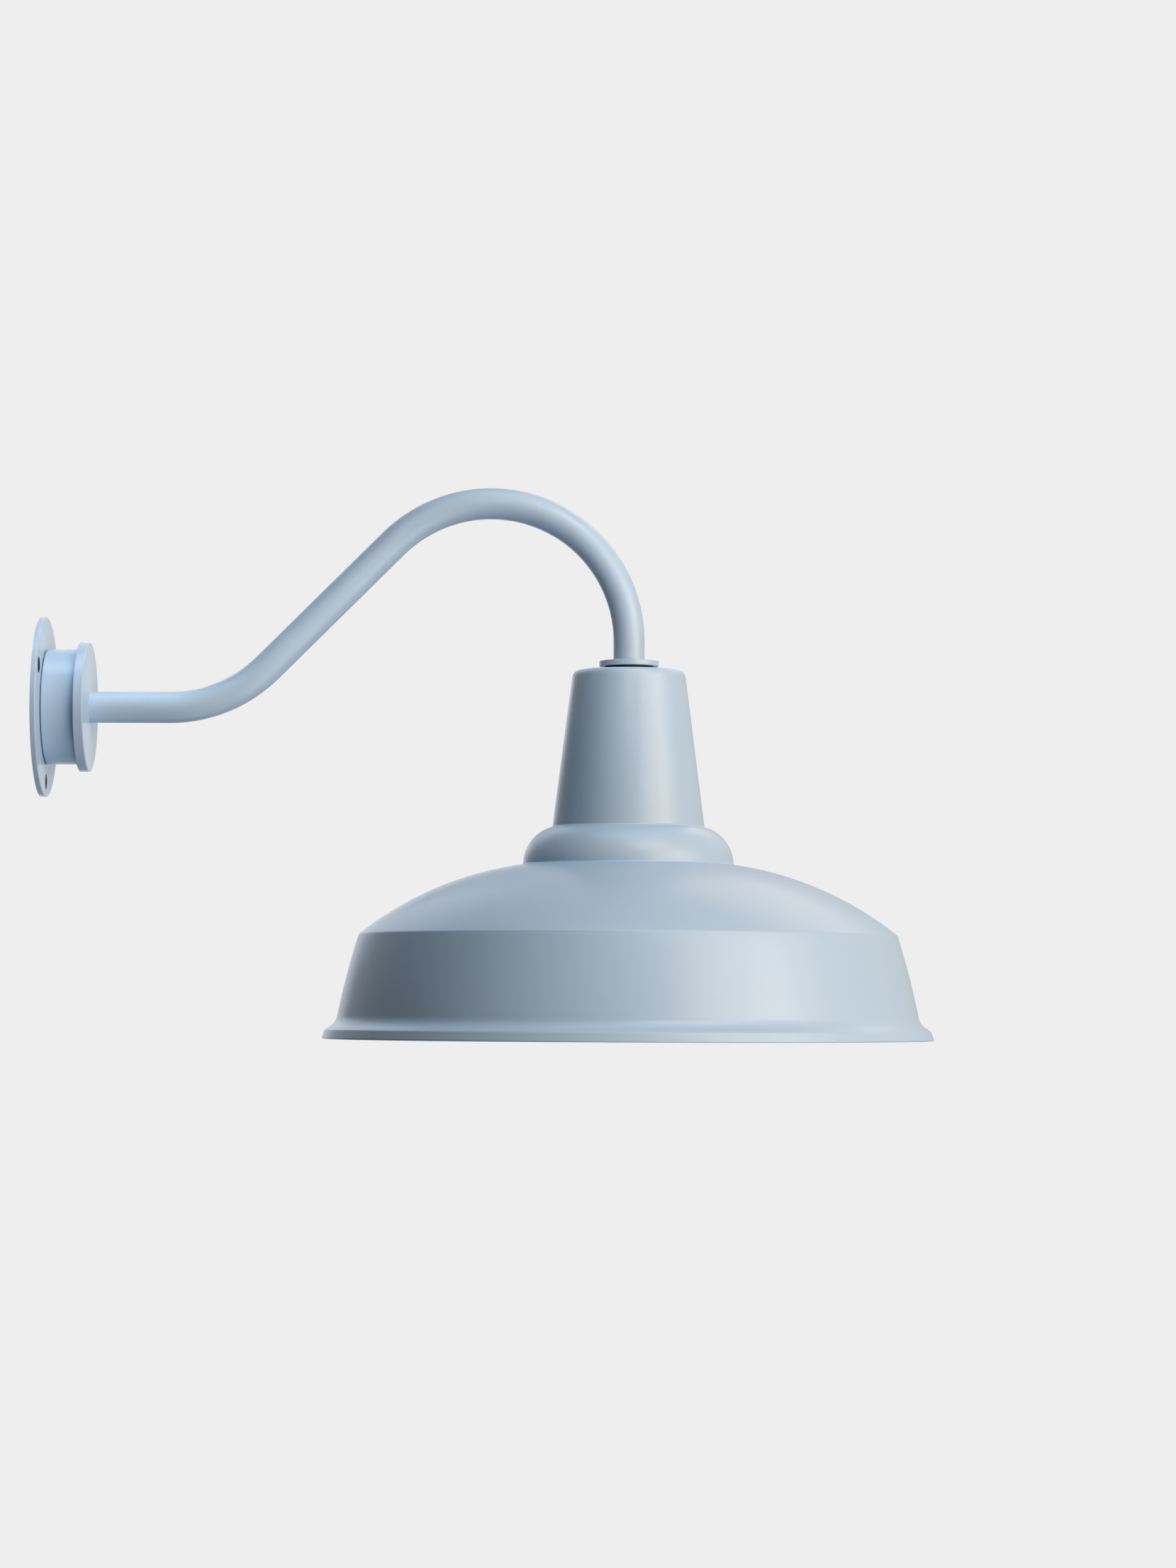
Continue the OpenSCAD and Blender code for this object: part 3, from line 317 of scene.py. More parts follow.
class Graph:
    """A node tree to which nodes are added by their type, settings and inputs."""

    def __init__(self, tree):
        self.tree = tree

    def add(self, kind, settings=None, inputs=None, output=0):
        node = self.tree.nodes.new(kind)
        for name, value in (settings or {}).items():
            if name == "stops":
                self.set_stops(node.color_ramp, value)
            else:
                setattr(node, name, value)
        for key, value in (inputs or {}).items():
            if isinstance(value, Wire):
                self.tree.links.new(value.socket, node.inputs[key])
            else:
                node.inputs[key].default_value = value
        return Wire(self, node.outputs[output]) if node.outputs else node

    @staticmethod
    def set_stops(ramp, stops):
        for element, (place, value) in ((ramp.elements[0], stops[0]), (ramp.elements[-1], stops[-1])):
            element.position, element.color = place, (*value, 1)
        for place, value in stops[1:-1]:
            ramp.elements.new(place).color = (*value, 1)

    def maths(self, operation, *values):
        return self.add("ShaderNodeMath", {"operation": operation}, dict(enumerate(values)))

    def split(self, wire):
        """The three parts of a vector."""
        first = self.add("ShaderNodeSeparateXYZ", inputs={0: wire})
        return [Wire(self, socket) for socket in first.socket.node.outputs]

    def vector(self, x=0.0, y=0.0, z=0.0):
        return self.add("ShaderNodeCombineXYZ", inputs={"X": x, "Y": y, "Z": z})

    def fade(self, value, end):
        """Smooth rise from 0, where the value is 0, to 1, where it is the end."""
        return self.add("ShaderNodeMapRange", {"interpolation_type": "SMOOTHSTEP"},
                        {"Value": value, "From Min": 0.0, "From Max": end})

    def rays(self, *kinds):
        """Wires that are 1 on rays of these kinds."""
        path = self.add("ShaderNodeLightPath").socket.node
        return [Wire(self, path.outputs[f"Is {kind} Ray"]) for kind in kinds]

    def noise(self, place, size, detail=2, stretch=None):
        """Noise whose grains are about this size, in metres."""
        if stretch:
            place = self.add("ShaderNodeMapping", inputs={"Vector": place, "Scale": stretch})
        return self.add("ShaderNodeTexNoise", inputs={"Vector": place, "Scale": 1 / size, "Detail": detail})

    def blend(self, factor, low, high):
        """A colour between two colours."""
        ends = {6: low if isinstance(low, Wire) else (*low, 1), 7: high if isinstance(high, Wire) else (*high, 1)}
        return self.add("ShaderNodeMix", {"data_type": "RGBA"}, {0: factor, **ends}, output=2)


# Finishes

def scaled(tone, factor):
    return [min(part * factor, 1) for part in tone]


def material(name, build):
    """A new material whose surface is what build puts into its graph."""
    made = bpy.data.materials.new(name)
    made.use_nodes = True
    made.node_tree.nodes.clear()
    graph = Graph(made.node_tree)
    place = graph.add("ShaderNodeTexCoord", output="Object")
    graph.add("ShaderNodeOutputMaterial", inputs={"Surface": build(graph, place)})
    return made


def surface(graph, tone, roughness, height, depth, **more):
    """A shader with its colour, roughness and a relief of this depth in metres."""
    relief = graph.add("ShaderNodeBump", inputs={"Strength": 1, "Distance": depth, "Height": height})
    inputs = {"Base Color": tone, "Roughness": roughness, "Normal": relief}
    inputs.update({name.replace("_", " "): value for name, value in more.items()})
    return graph.add("ShaderNodeBsdfPrincipled", inputs=inputs)


def powder_coat(name, tone, roughness):
    """Baked powder: a slow drift of colour, shallow orange peel and a fine grain."""
    def build(graph, place):
        drift = graph.noise(place, 0.09, 3)
        peel = graph.noise(place, 0.0026, 2)
        grain = graph.noise(place, 0.0005, 1)
        tint = graph.blend(drift, scaled(tone, 0.97), scaled(tone, 1.03))
        tint = graph.blend(grain * 0.25, tint, scaled(tone, 1.12))
        rough = (drift - 0.5) * 0.06 + (grain - 0.5) * 0.08 + roughness
        return surface(graph, tint, rough, peel * 0.8 + grain * 0.2, 0.000012, Coat_Weight=0.45, Coat_Roughness=0.22)
    return material(name, build)


def plated(name, tone, roughness, stain, metallic=1.0):
    """Plated or turned metal: clouded tint, fine turning marks and a few dull spots."""
    def build(graph, place):
        cloud = graph.noise(place, 0.006, 4)
        marks = graph.noise(place, 0.0004, 2, (1, 1, 5))
        spots = graph.add("ShaderNodeValToRGB", {"stops": [(0.58, (0, 0, 0)), (0.72, (1, 1, 1))]},
                          {0: graph.noise(place, 0.003, 3)})
        tint = graph.blend(cloud, scaled(tone, 0.9), scaled(tone, 1.06))
        tint = graph.blend(spots * 0.5, tint, stain)
        rough = cloud * 0.1 + spots * 0.16 + marks * 0.06 + (roughness - 0.1)
        return surface(graph, tint, rough, marks, 0.000006, Metallic=metallic)
    return material(name, build)


def moulded(name, tone, roughness, grain_size=0.0006, depth=0.00001, **more):
    """Moulded plastic or rubber: faint flow marks and the grain of the mould."""
    def build(graph, place):
        flow = graph.noise(place, 0.012, 3)
        grain = graph.noise(place, grain_size, 2)
        tint = graph.blend(flow, scaled(tone, 0.88), scaled(tone, 1.1))
        rough = flow * 0.1 + grain * 0.08 + (roughness - 0.09)
        return surface(graph, tint, rough, grain, depth, **more)
    return material(name, build)


def striped(name, tone, stripe, roughness):
    """Sleeve with two lengthwise colours."""
    def build(graph, place):
        marker = graph.add("ShaderNodeAttribute", {"attribute_name": "round"}, output="Fac")
        mask = graph.add("ShaderNodeValToRGB",
                         {"stops": [(0.28, (0, 0, 0)), (0.31, (1, 1, 1)), (0.69, (1, 1, 1)), (0.72, (0, 0, 0))]},
                         {0: marker})
        grain = graph.noise(place, 0.0006, 2)
        tint = graph.blend(mask, tone, stripe)
        return surface(graph, tint, grain * 0.1 + (roughness - 0.05), grain, 0.000008)
    return material(name, build)


def blown_glass(name):
    """Clear glass with a slight wave."""
    def build(graph, place):
        wave = graph.noise(place, 0.02, 1)
        return surface(graph, (1, 1, 1, 1), wave * 0.02, wave, 0.00004, Transmission_Weight=1.0, IOR=1.5)
    return material(name, build)


def make_finishes(finish, wires):
    """All materials of the object, by the name of their slot in the record."""
    return {
        "paint": powder_coat("powder_coat", finish.paint, finish.paint_roughness),
        "inside": powder_coat("powder_coat_inside", finish.inner, 0.45),
        "rubber": moulded("black_rubber", finish.rubber, 0.62, 0.0004, 0.00002),
        # The seal's rubber is tinted dark blue as painted shade, so that its sliver stands for the contact shadow line
        # behind the drum
        "seal": moulded("blue_rubber", finish.seal, 0.6, 0.0004, 0.00002),
        "zinc": plated("zinc_plate", finish.zinc, 0.34, (0.5, 0.49, 0.44)),
        "black_steel": plated("black_oxide", (0.012, 0.011, 0.013), 0.66, (0.03, 0.026, 0.024), 0.1),
        "tinned": plated("tin_plate", (0.7, 0.69, 0.66), 0.28, (0.52, 0.5, 0.46)),
        "brass": plated("brass", finish.brass, 0.3, (0.34, 0.2, 0.09)),
        "nylon": moulded("nylon", finish.nylon, 0.42, 0.0005, Subsurface_Weight=0.15, Subsurface_Scale=0.002),
        "sheath": moulded("flex_sheath", (0.62, 0.62, 0.6), 0.5),
        "core": moulded("core_sleeve", (0.3, 0.3, 0.3), 0.42),
        "live": moulded("sleeve_live", wires.live, 0.42),
        "neutral": moulded("sleeve_neutral", wires.neutral, 0.42),
        "earth": striped("sleeve_earth", wires.earth, wires.stripe, 0.42),
        "holder_metal": plated("holder_plate", (0.6, 0.6, 0.59), 0.36, (0.42, 0.4, 0.36)),
        "phenolic": moulded("phenolic", finish.phenolic, 0.27, 0.0008, 0.000006, Coat_Weight=0.2),
        "porcelain": moulded("porcelain", finish.porcelain, 0.2, 0.002, 0.00002, Coat_Weight=0.6),
        "lamp_cap": plated("nickel_plate", (0.66, 0.63, 0.57), 0.22, (0.45, 0.41, 0.34)),
        "lamp_insulator": moulded("cap_glass", (0.01, 0.01, 0.016), 0.12, 0.001, 0.00001, Coat_Weight=0.5),
        "glass": blown_glass("clear_glass"),
        "phosphor": moulded("phosphor", finish.phosphor, 0.55, 0.0003, 0.00003),
    }


def dress(thing, *materials):
    """Gives a thing these materials and no others."""
    thing.data.materials.clear()
    for made in materials:
        thing.data.materials.append(made)


# Flat outlines: a point is a complex number, across + height * 1j

def arc(centre, radius, start, end, steps):
    return [centre + cmath.rect(radius, start + (end - start) * i / steps) for i in range(steps + 1)]


def arc_to(a, b, radius, steps):
    """Arc from a to b, with its centre on the right of the way."""
    way = (b - a) / abs(b - a)
    centre = (a + b) / 2 - 1j * way * math.sqrt(radius ** 2 - abs(b - a) ** 2 / 4)
    start = cmath.phase(a - centre)
    return arc(centre, radius, start, start + math.remainder(cmath.phase(b - centre) - start, math.tau), steps)


def softened(before, corner, after, radius, steps=5):
    """Arc of this radius in place of a corner."""
    u, v = (before - corner) / abs(before - corner), (after - corner) / abs(after - corner)
    half = abs(cmath.phase(v / u)) / 2
    centre = corner + (u + v) / abs(u + v) * radius / math.sin(half)
    start = cmath.phase(corner + u * radius / math.tan(half) - centre)
    end = cmath.phase(corner + v * radius / math.tan(half) - centre)
    return arc(centre, radius, start, start + math.remainder(end - start, math.tau), steps)


def straight(a, b, ends=0.0003):
    """Two points that keep the line from a to b straight when its faces are smoothed."""
    way = (b - a) / abs(b - a) * ends
    return a + way, b - way


def shade_outline(s):
    """Outside of the shade, from the hole in its top to the hem, with heights below the neck's top."""
    slope = math.atan2(s.neck_low - s.neck_top, s.neck_height)
    corner = complex(
        s.neck_top + s.neck_corner * math.tan(slope) - s.neck_corner / math.cos(slope), -s.neck_corner)
    neck = arc(corner, s.neck_corner, math.pi / 2, slope, 10)
    bell = arc_to(complex(s.neck_low, -s.neck_height), complex(s.bell, -s.bell_depth), s.bell_round, 22)
    dome = arc_to(bell[-1], complex(s.shoulder, -s.shoulder_depth), s.dome_round, 40)
    skirt = arc_to(dome[-1], complex(s.skirt, -s.skirt_depth), s.skirt_round, 16)
    low = complex(s.rim, -s.height)
    edge = low + complex(-s.lip_lean, s.lip)
    down, back = skirt[-1] - skirt[-2], cmath.rect(1, math.pi - s.flare)
    valley = skirt[-1] + down * ((edge - skirt[-1]).conjugate() * back).imag / (down.conjugate() * back).imag
    hem = low - s.hem
    waist = softened(neck[-1], bell[0], bell[1], s.crease)
    flare = softened(skirt[-1], valley, edge, s.hollow_round, 14)
    corner = softened(valley, edge, low, s.lip_round, 6)
    foot = softened(edge, low, hem, s.sheet / 2)
    return [
        complex(s.hole, 0), *straight(complex(s.hole, 0), neck[0]), *neck,
        *straight(neck[-1], waist[0]), *waist, *bell[1:-1],
        *softened(bell[-2], bell[-1], dome[1], s.crease), *dome[1:-1],
        *softened(dome[-2], dome[-1], skirt[1], 2 * s.crease), *skirt[1:], *flare,
        *straight(flare[-1], corner[0]), *corner, *straight(corner[-1], foot[0]), *foot, hem,
    ]


# Meshes

def polyline(name, *ways):
    """An object whose mesh holds open lines through these points."""
    points, edges = [], []
    for way in ways:
        edges += [(len(points) + i, len(points) + i + 1) for i in range(len(way) - 1)]
        points += [tuple(point) for point in way]
    mesh = bpy.data.meshes.new(name)
    mesh.from_pydata(points, edges, [])
    made = bpy.data.objects.new(name, mesh)
    bpy.context.scene.collection.objects.link(made)
    return made


def flat_line(name, outline):
    """A line through the points of a flat outline."""
    return polyline(name, [(point.real, point.imag, 0) for point in outline])


def new_tree(name, sizes):
    """An empty geometry tree with a geometry input, a material input and these named sizes."""
    tree = bpy.data.node_groups.new(name, "GeometryNodeTree")
    tree.interface.new_socket("Geometry", in_out="INPUT", socket_type="NodeSocketGeometry")
    tree.interface.new_socket("Geometry", in_out="OUTPUT", socket_type="NodeSocketGeometry")
    tree.interface.new_socket("Material", in_out="INPUT", socket_type="NodeSocketMaterial")
    for size, default in sizes.items():
        kind = {bool: "NodeSocketBool", int: "NodeSocketInt", float: "NodeSocketFloat"}[type(default)]
        tree.interface.new_socket(size, in_out="INPUT", socket_type=kind).default_value = default
    graph = Graph(tree)
    first = graph.add("NodeGroupInput").socket.node
    return graph, {socket.name: Wire(graph, socket) for socket in first.outputs if socket.name}


def end_tree(graph, geometry, given):
    """Closes a geometry tree: real instances, smooth faces and the material."""
    real = graph.add("GeometryNodeRealizeInstances", inputs={"Geometry": geometry})
    smooth = graph.add("GeometryNodeSetShadeSmooth", inputs={"Geometry": real, "Shade Smooth": True})
    made = graph.add("GeometryNodeSetMaterial", inputs={"Geometry": smooth, "Material": given["Material"]})
    graph.add("NodeGroupOutput", inputs={"Geometry": made})
    return graph.tree


def pipe_tree():
    """Round pipe along the lines of the mesh, with a value round it from 0 to 1."""
    graph, given = new_tree("round_pipe", {"Radius": 0.01, "Sides": 32, "Closed": True})
    line = graph.add("GeometryNodeMeshToCurve", inputs={"Mesh": given["Geometry"]})
    ring = graph.add("GeometryNodeCurvePrimitiveCircle",
                     inputs={"Resolution": given["Sides"], "Radius": given["Radius"]})
    turn = graph.add("GeometryNodeInputIndex") / given["Sides"]
    ring = graph.add("GeometryNodeStoreNamedAttribute", {"data_type": "FLOAT", "domain": "POINT"},
                     {"Geometry": ring, "Name": "round", "Value": turn})
    pipe = graph.add("GeometryNodeCurveToMesh",
                     inputs={"Curve": line, "Profile Curve": ring, "Fill Caps": given["Closed"]})
    return end_tree(graph, pipe, given)


def spun_tree():
    """Sheet spun from the mesh's outline, with a rolled thread between two heights."""
    graph, given = new_tree("spun_sheet", {
        "Segments": 64, "Hub": 0.001, "Lead": 0.01, "Depth": 0.0, "Top": 0.0, "Bottom": -0.1, "Run-out": 0.001})
    outline = graph.add("GeometryNodeMeshToCurve", inputs={"Mesh": given["Geometry"]})
    across, height, _ = graph.split(graph.add("GeometryNodeInputPosition"))
    profile = graph.add("GeometryNodeSetPosition", inputs={
        "Geometry": outline, "Position": graph.vector(across - given["Hub"], 0.0 - height)})
    ring = graph.add("GeometryNodeCurvePrimitiveCircle",
                     inputs={"Resolution": given["Segments"], "Radius": given["Hub"]})
    ring = graph.add("GeometryNodeSetCurveNormal", {"mode": "Z_UP"}, {"Curve": ring})
    sheet = graph.add("GeometryNodeCurveToMesh", inputs={"Curve": ring, "Profile Curve": profile})
    x, y, z = graph.split(graph.add("GeometryNodeInputPosition"))
    bearing = graph.maths("ARCTAN2", y, x)
    wave = graph.maths("COSINE", z / given["Lead"] * math.tau - bearing)
    below_top, above_bottom = (
        graph.fade(distance, given["Run-out"]) for distance in (given["Top"] - z, z - given["Bottom"]))
    lift = wave * given["Depth"] * below_top * above_bottom
    offset = graph.vector(lift * graph.maths("COSINE", bearing), lift * graph.maths("SINE", bearing))
    sheet = graph.add("GeometryNodeSetPosition", inputs={"Geometry": sheet, "Offset": offset})
    return end_tree(graph, sheet, given)


def coil_tree():
    """Coil spring of round wire, standing on its first turn."""
    graph, given = new_tree("coil_spring", {"Turns": 5, "Coil": 0.002, "Wire": 0.0002, "Height": 0.005})
    coil = graph.add("GeometryNodeCurveSpiral", inputs={
        "Resolution": 40, "Rotations": given["Turns"], "Start Radius": given["Coil"], "End Radius": given["Coil"],
        "Height": given["Height"]})
    ring = graph.add("GeometryNodeCurvePrimitiveCircle", inputs={"Resolution": 12, "Radius": given["Wire"]})
    wire = graph.add("GeometryNodeCurveToMesh", inputs={"Curve": coil, "Profile Curve": ring, "Fill Caps": True})
    return end_tree(graph, wire, given)


def screws_tree():
    """Countersunk screws with a cross recess, round a circle, heads up."""
    graph, given = new_tree("countersunk_screws", {
        "Head": 0.005, "Shank": 0.0025, "Length": 0.0035, "Recess": 0.001, "Circle": 0.05, "Number": 3})
    head_height = given["Head"] - given["Shank"]
    wing_length, wing_height, below_head = given["Head"] * 1.05, given["Head"] * 0.55, 0.00002
    cone = graph.add("GeometryNodeMeshCone", {"fill_type": "NGON"}, {
        "Vertices": 64, "Radius Top": given["Head"], "Radius Bottom": given["Shank"], "Depth": head_height})
    rod = graph.add("GeometryNodeMeshCylinder", {"fill_type": "NGON"}, {
        "Vertices": 64, "Radius": given["Shank"], "Depth": given["Length"]})
    head, shank = (
        graph.add("GeometryNodeTransform", inputs={"Geometry": solid, "Translation": graph.vector(z=height)})
        for solid, height in ((cone, 0.0 - head_height), (rod, given["Length"] * -0.5 - below_head)))
    wings = [
        graph.add("GeometryNodeMeshCube", inputs={"Size": graph.vector(*sides, wing_height)})
        for sides in ((given["Recess"], wing_length), (wing_length, given["Recess"]))]
    body = graph.add("GeometryNodeMeshBoolean", {"operation": "UNION", "solver": "EXACT"}, {"Mesh 2": head})
    graph.tree.links.new(shank.socket, body.socket.node.inputs["Mesh 2"])
    cut = graph.add("GeometryNodeMeshBoolean", {"operation": "DIFFERENCE", "solver": "EXACT"}, {"Mesh 1": body})
    for wing in wings:
        graph.tree.links.new(wing.socket, cut.socket.node.inputs["Mesh 2"])
    points = graph.add("GeometryNodeMeshCircle", inputs={"Vertices": given["Number"], "Radius": given["Circle"]})
    turned = graph.add("FunctionNodeRandomValue", {"data_type": "FLOAT"},
                       {"Min": 0.0, "Max": math.pi, "Seed": 4}, output=1)
    many = graph.add("GeometryNodeInstanceOnPoints", inputs={
        "Points": points, "Instance": cut, "Rotation": graph.vector(z=turned)})
    return end_tree(graph, many, given)


def work_out(thing, tree, sizes, made):
    """Runs a geometry tree on a thing and leaves it as a plain mesh, with its faces turned outwards."""
    modifier = thing.modifiers.new(tree.name, "NODES")
    modifier.node_group = tree
    given = {**sizes, "Material": made}
    for item in tree.interface.items_tree:
        if item.in_out == "INPUT" and item.name in given:
            modifier[item.identifier] = given[item.name]
    bake(thing)
    work = bmesh.new()
    work.from_mesh(thing.data)
    bmesh.ops.remove_doubles(work, verts=work.verts, dist=1e-7)
    bmesh.ops.recalc_face_normals(work, faces=work.faces)
    work.to_mesh(thing.data)
    work.free()


def thicken(thing, wall, inner=0):
    """Gives a sheet its wall, on the inside, where the material is the one this far down its list."""
    modifier = thing.modifiers.new("wall", "SOLIDIFY")
    modifier.thickness, modifier.offset = wall, -1
    modifier.use_even_offset, modifier.use_quality_normals = True, True
    modifier.material_offset, modifier.material_offset_rim = inner, 0
    bake(thing)


def bake(thing):
    """Makes a thing's modifiers its plain mesh."""
    graph = bpy.context.evaluated_depsgraph_get()
    mesh = bpy.data.meshes.new_from_object(thing.evaluated_get(graph), depsgraph=graph)
    if not mesh.polygons:
        raise RuntimeError(f"{thing.name} has no faces")
    thing.modifiers.clear()
    thing.data = mesh


def face_out(thing, centre):
    """Turns an open sheet so that its faces look away from a point inside it."""
    mesh = thing.data
    mesh.update()
    facing = sum((face.center - centre).dot(face.normal) * face.area for face in mesh.polygons)
    if facing < 0:
        mesh.flip_normals()


def shade_smooth(thing, angle=30):
    for face in thing.data.polygons:
        face.use_smooth = True
    thing.data.set_sharp_from_angle(angle=math.radians(angle))


def core_way(start, lead, early, late, end, last, steps=32):
    """Points of a core: a short lead, a curve with two handles, and a last straight length."""
    way = [start]
    for i in range(steps + 1):
        t = i / steps
        way.append((start + lead) * (1 - t) ** 3 + early * 3 * t * (1 - t) ** 2
                   + late * 3 * t * t * (1 - t) + end * t ** 3)
    return way + [end + last]


def softbox(name, aim, far, angles, size, spread, tint, watts):
    """Area lamp at this distance from its aim; azimuth 0 is the camera's side and 90 the side away from the wall."""
    a, e = (math.radians(angle) for angle in angles)
    back = Vector((math.sin(a) * math.cos(e), -math.cos(a) * math.cos(e), math.sin(e)))
    data = bpy.data.lights.new(name, "AREA")
    data.shape, data.size, data.size_y = "RECTANGLE", *size
    data.color, data.energy, data.spread = tint, watts, math.radians(spread)
    lamp = bpy.data.objects.new(name, data)
    lamp.location = aim + back * far
    lamp.rotation_euler = (-back).to_track_quat("-Z", "Y").to_euler()
    lamp.visible_camera = False
    bpy.context.scene.collection.objects.link(lamp)


def hand_over(thing, body, slot, *nodes):
    """Lets a piece ride on its body and stand for its nodes."""
    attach(thing, body)
    if nodes:
        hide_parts(*nodes)


# Operators

class BARN_OT_stage(bpy.types.Operator):
    """Make the floor, the backdrop, the lamps and the camera"""
    bl_idname = "barn.stage"
    bl_label = "Studio"

    def execute(self, context):
        stage = context.scene.barn_light.stage
        self.make_camera(context.scene, stage)
        self.make_world(context.scene, stage)
        self.make_floor(stage)
        for name, aim, far, azimuth, elevation, size, spread, warmth in LAMPS:
            tint = Vector(stage.cool).lerp(Vector(stage.warm), warmth)
            softbox(name, Vector(aim), far, (azimuth, elevation), size, spread, tint, getattr(stage, name))
        context.scene.view_settings.view_transform = "Standard"
        return {"FINISHED"}

    @staticmethod
    def make_camera(scene, stage):
        """Camera at the photograph's place."""
        data = bpy.data.cameras.new("camera")
        data.lens, data.sensor_width, data.clip_end = stage.lens, 36, 100
        camera = bpy.data.objects.new("camera", data)
        turn = Matrix.Rotation(stage.yaw, 4, "Z") @ Matrix.Rotation(math.pi / 2 + stage.pitch, 4, "X")
        camera.matrix_world = Matrix.Translation(stage.place) @ turn @ Matrix.Rotation(stage.roll, 4, "Z")
        scene.collection.objects.link(camera)
        scene.camera = camera

    @staticmethod
    def make_world(scene, stage):
        """Pale where it is seen, directly or in a reflection, and dimmer as a light."""
        world = bpy.data.worlds.new("studio")
        world.use_nodes = True
        world.node_tree.nodes.clear()
        graph = Graph(world.node_tree)
        camera, glossy, through = graph.rays("Camera", "Glossy", "Transmission")
        x, y, z = graph.split(graph.add("ShaderNodeTexCoord", output="Generated"))
        full_glow_at = 0.7
        glow = sum(graph.fade(way, full_glow_at) * level for way, level in (
            (y, stage.glow_back), (z, stage.glow_top), (x, stage.glow_right)))
        tone = graph.blend(glossy, [stage.fill] * 3, glow)
        tone = graph.blend(graph.maths("MAXIMUM", camera, through), tone, [stage.backdrop] * 3)
        shine = graph.add("ShaderNodeBackground", inputs={"Color": tone})
        graph.add("ShaderNodeOutputWorld", inputs={"Surface": shine})
        scene.world = world

    @staticmethod
    def make_floor(stage):
        """Pale floor, which neither lights the object nor shows in its gloss."""
        mesh = bpy.data.meshes.new("floor")
        work = bmesh.new()
        bmesh.ops.create_circle(work, cap_ends=True, segments=96, radius=stage.floor_size)
        work.to_mesh(mesh)
        work.free()
        floor = bpy.data.objects.new("floor", mesh)
        floor.location = (stage.floor_middle, 0, -stage.floor_drop)
        floor.visible_diffuse = floor.visible_glossy = False
        bpy.context.scene.collection.objects.link(floor)

        def build(graph, place):
            cloud = graph.noise(place, 0.4, 3)
            tone = graph.blend(cloud, (0.8, 0.8, 0.79), (0.84, 0.84, 0.83))
            paint = surface(graph, tone, 0.7, cloud, 0.001)
            pale = graph.add("ShaderNodeEmission", inputs={"Color": (*[stage.backdrop] * 3, 1)})
            seen, through = graph.rays("Camera", "Transmission")
            return graph.add("ShaderNodeMixShader", inputs={0: (seen + through) * stage.floor_glow, 1: paint, 2: pale})
        mesh.materials.append(material("floor_paint", build))


class BARN_OT_finishes(bpy.types.Operator):
    """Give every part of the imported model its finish"""
    bl_idname = "barn.finishes"
    bl_label = "Finishes"

    def execute(self, context):
        settings = context.scene.barn_light
        FINISHES.update(make_finishes(settings.finish, settings.wires))
        for node in frame["nodes"].values():
            slots = [made.name.split(".")[0] for made in node.data.materials]
            dress(node, *(FINISHES[name] for name in slots))
        # The seal takes the dark blue of painted shade, the contact shadow line between drum and plate, in place of
        # its black rubber
        dress(frame["nodes"]["drum_seal"], FINISHES["seal"])
        return {"FINISHED"}


class BARN_OT_shade(bpy.types.Operator):
    """Spin the shade from its outline, pale inside"""
    bl_idname = "barn.shade"
    bl_label = "Shade"

    def execute(self, context):
        s = context.scene.barn_light.shade
        shade = flat_line("spun_shade", shade_outline(s))
        work_out(shade, spun_tree(), {"Segments": s.segments}, FINISHES["paint"])
        face_out(shade, Vector((0, 0, -s.shoulder_depth)))
        dress(shade, FINISHES["paint"], FINISHES["inside"])
        thicken(shade, s.sheet, inner=1)
        shade.data.transform(Matrix.Translation(LAMP + Vector((0, 0, NECK_TOP))))
        shade_smooth(shade)
        hand_over(shade, "fixture", "paint", "shade")
        return {"FINISHED"}


class BARN_OT_arm(bpy.types.Operator):
    """Bend the tube along its path"""
    bl_idname = "barn.arm"
    bl_label = "Arm"

    def execute(self, context):
        s = context.scene.barn_light.arm
        quarter = math.pi / 2
        start = complex(ARM_START, 0)
        low = arc(start + s.first + s.bend * 1j, s.bend, -quarter, s.slope - quarter, 24)
        rise = low[-1] + cmath.rect(s.rise, s.slope)
        high = arc(rise + cmath.rect(s.bend, s.slope - quarter), s.bend, s.slope + quarter, 0, 66)
        end = complex(high[-1].real, ARM_END)
        arm = polyline("bent_arm", [(point.real, 0, point.imag) for point in (start, *low, *high, end)])
        work_out(arm, pipe_tree(), {"Radius": s.radius, "Sides": s.sides, "Closed": False}, FINISHES["paint"])
        thicken(arm, s.wall)
        shade_smooth(arm)
        hand_over(arm, "fixture", "paint", "arm_tube")
        return {"FINISHED"}


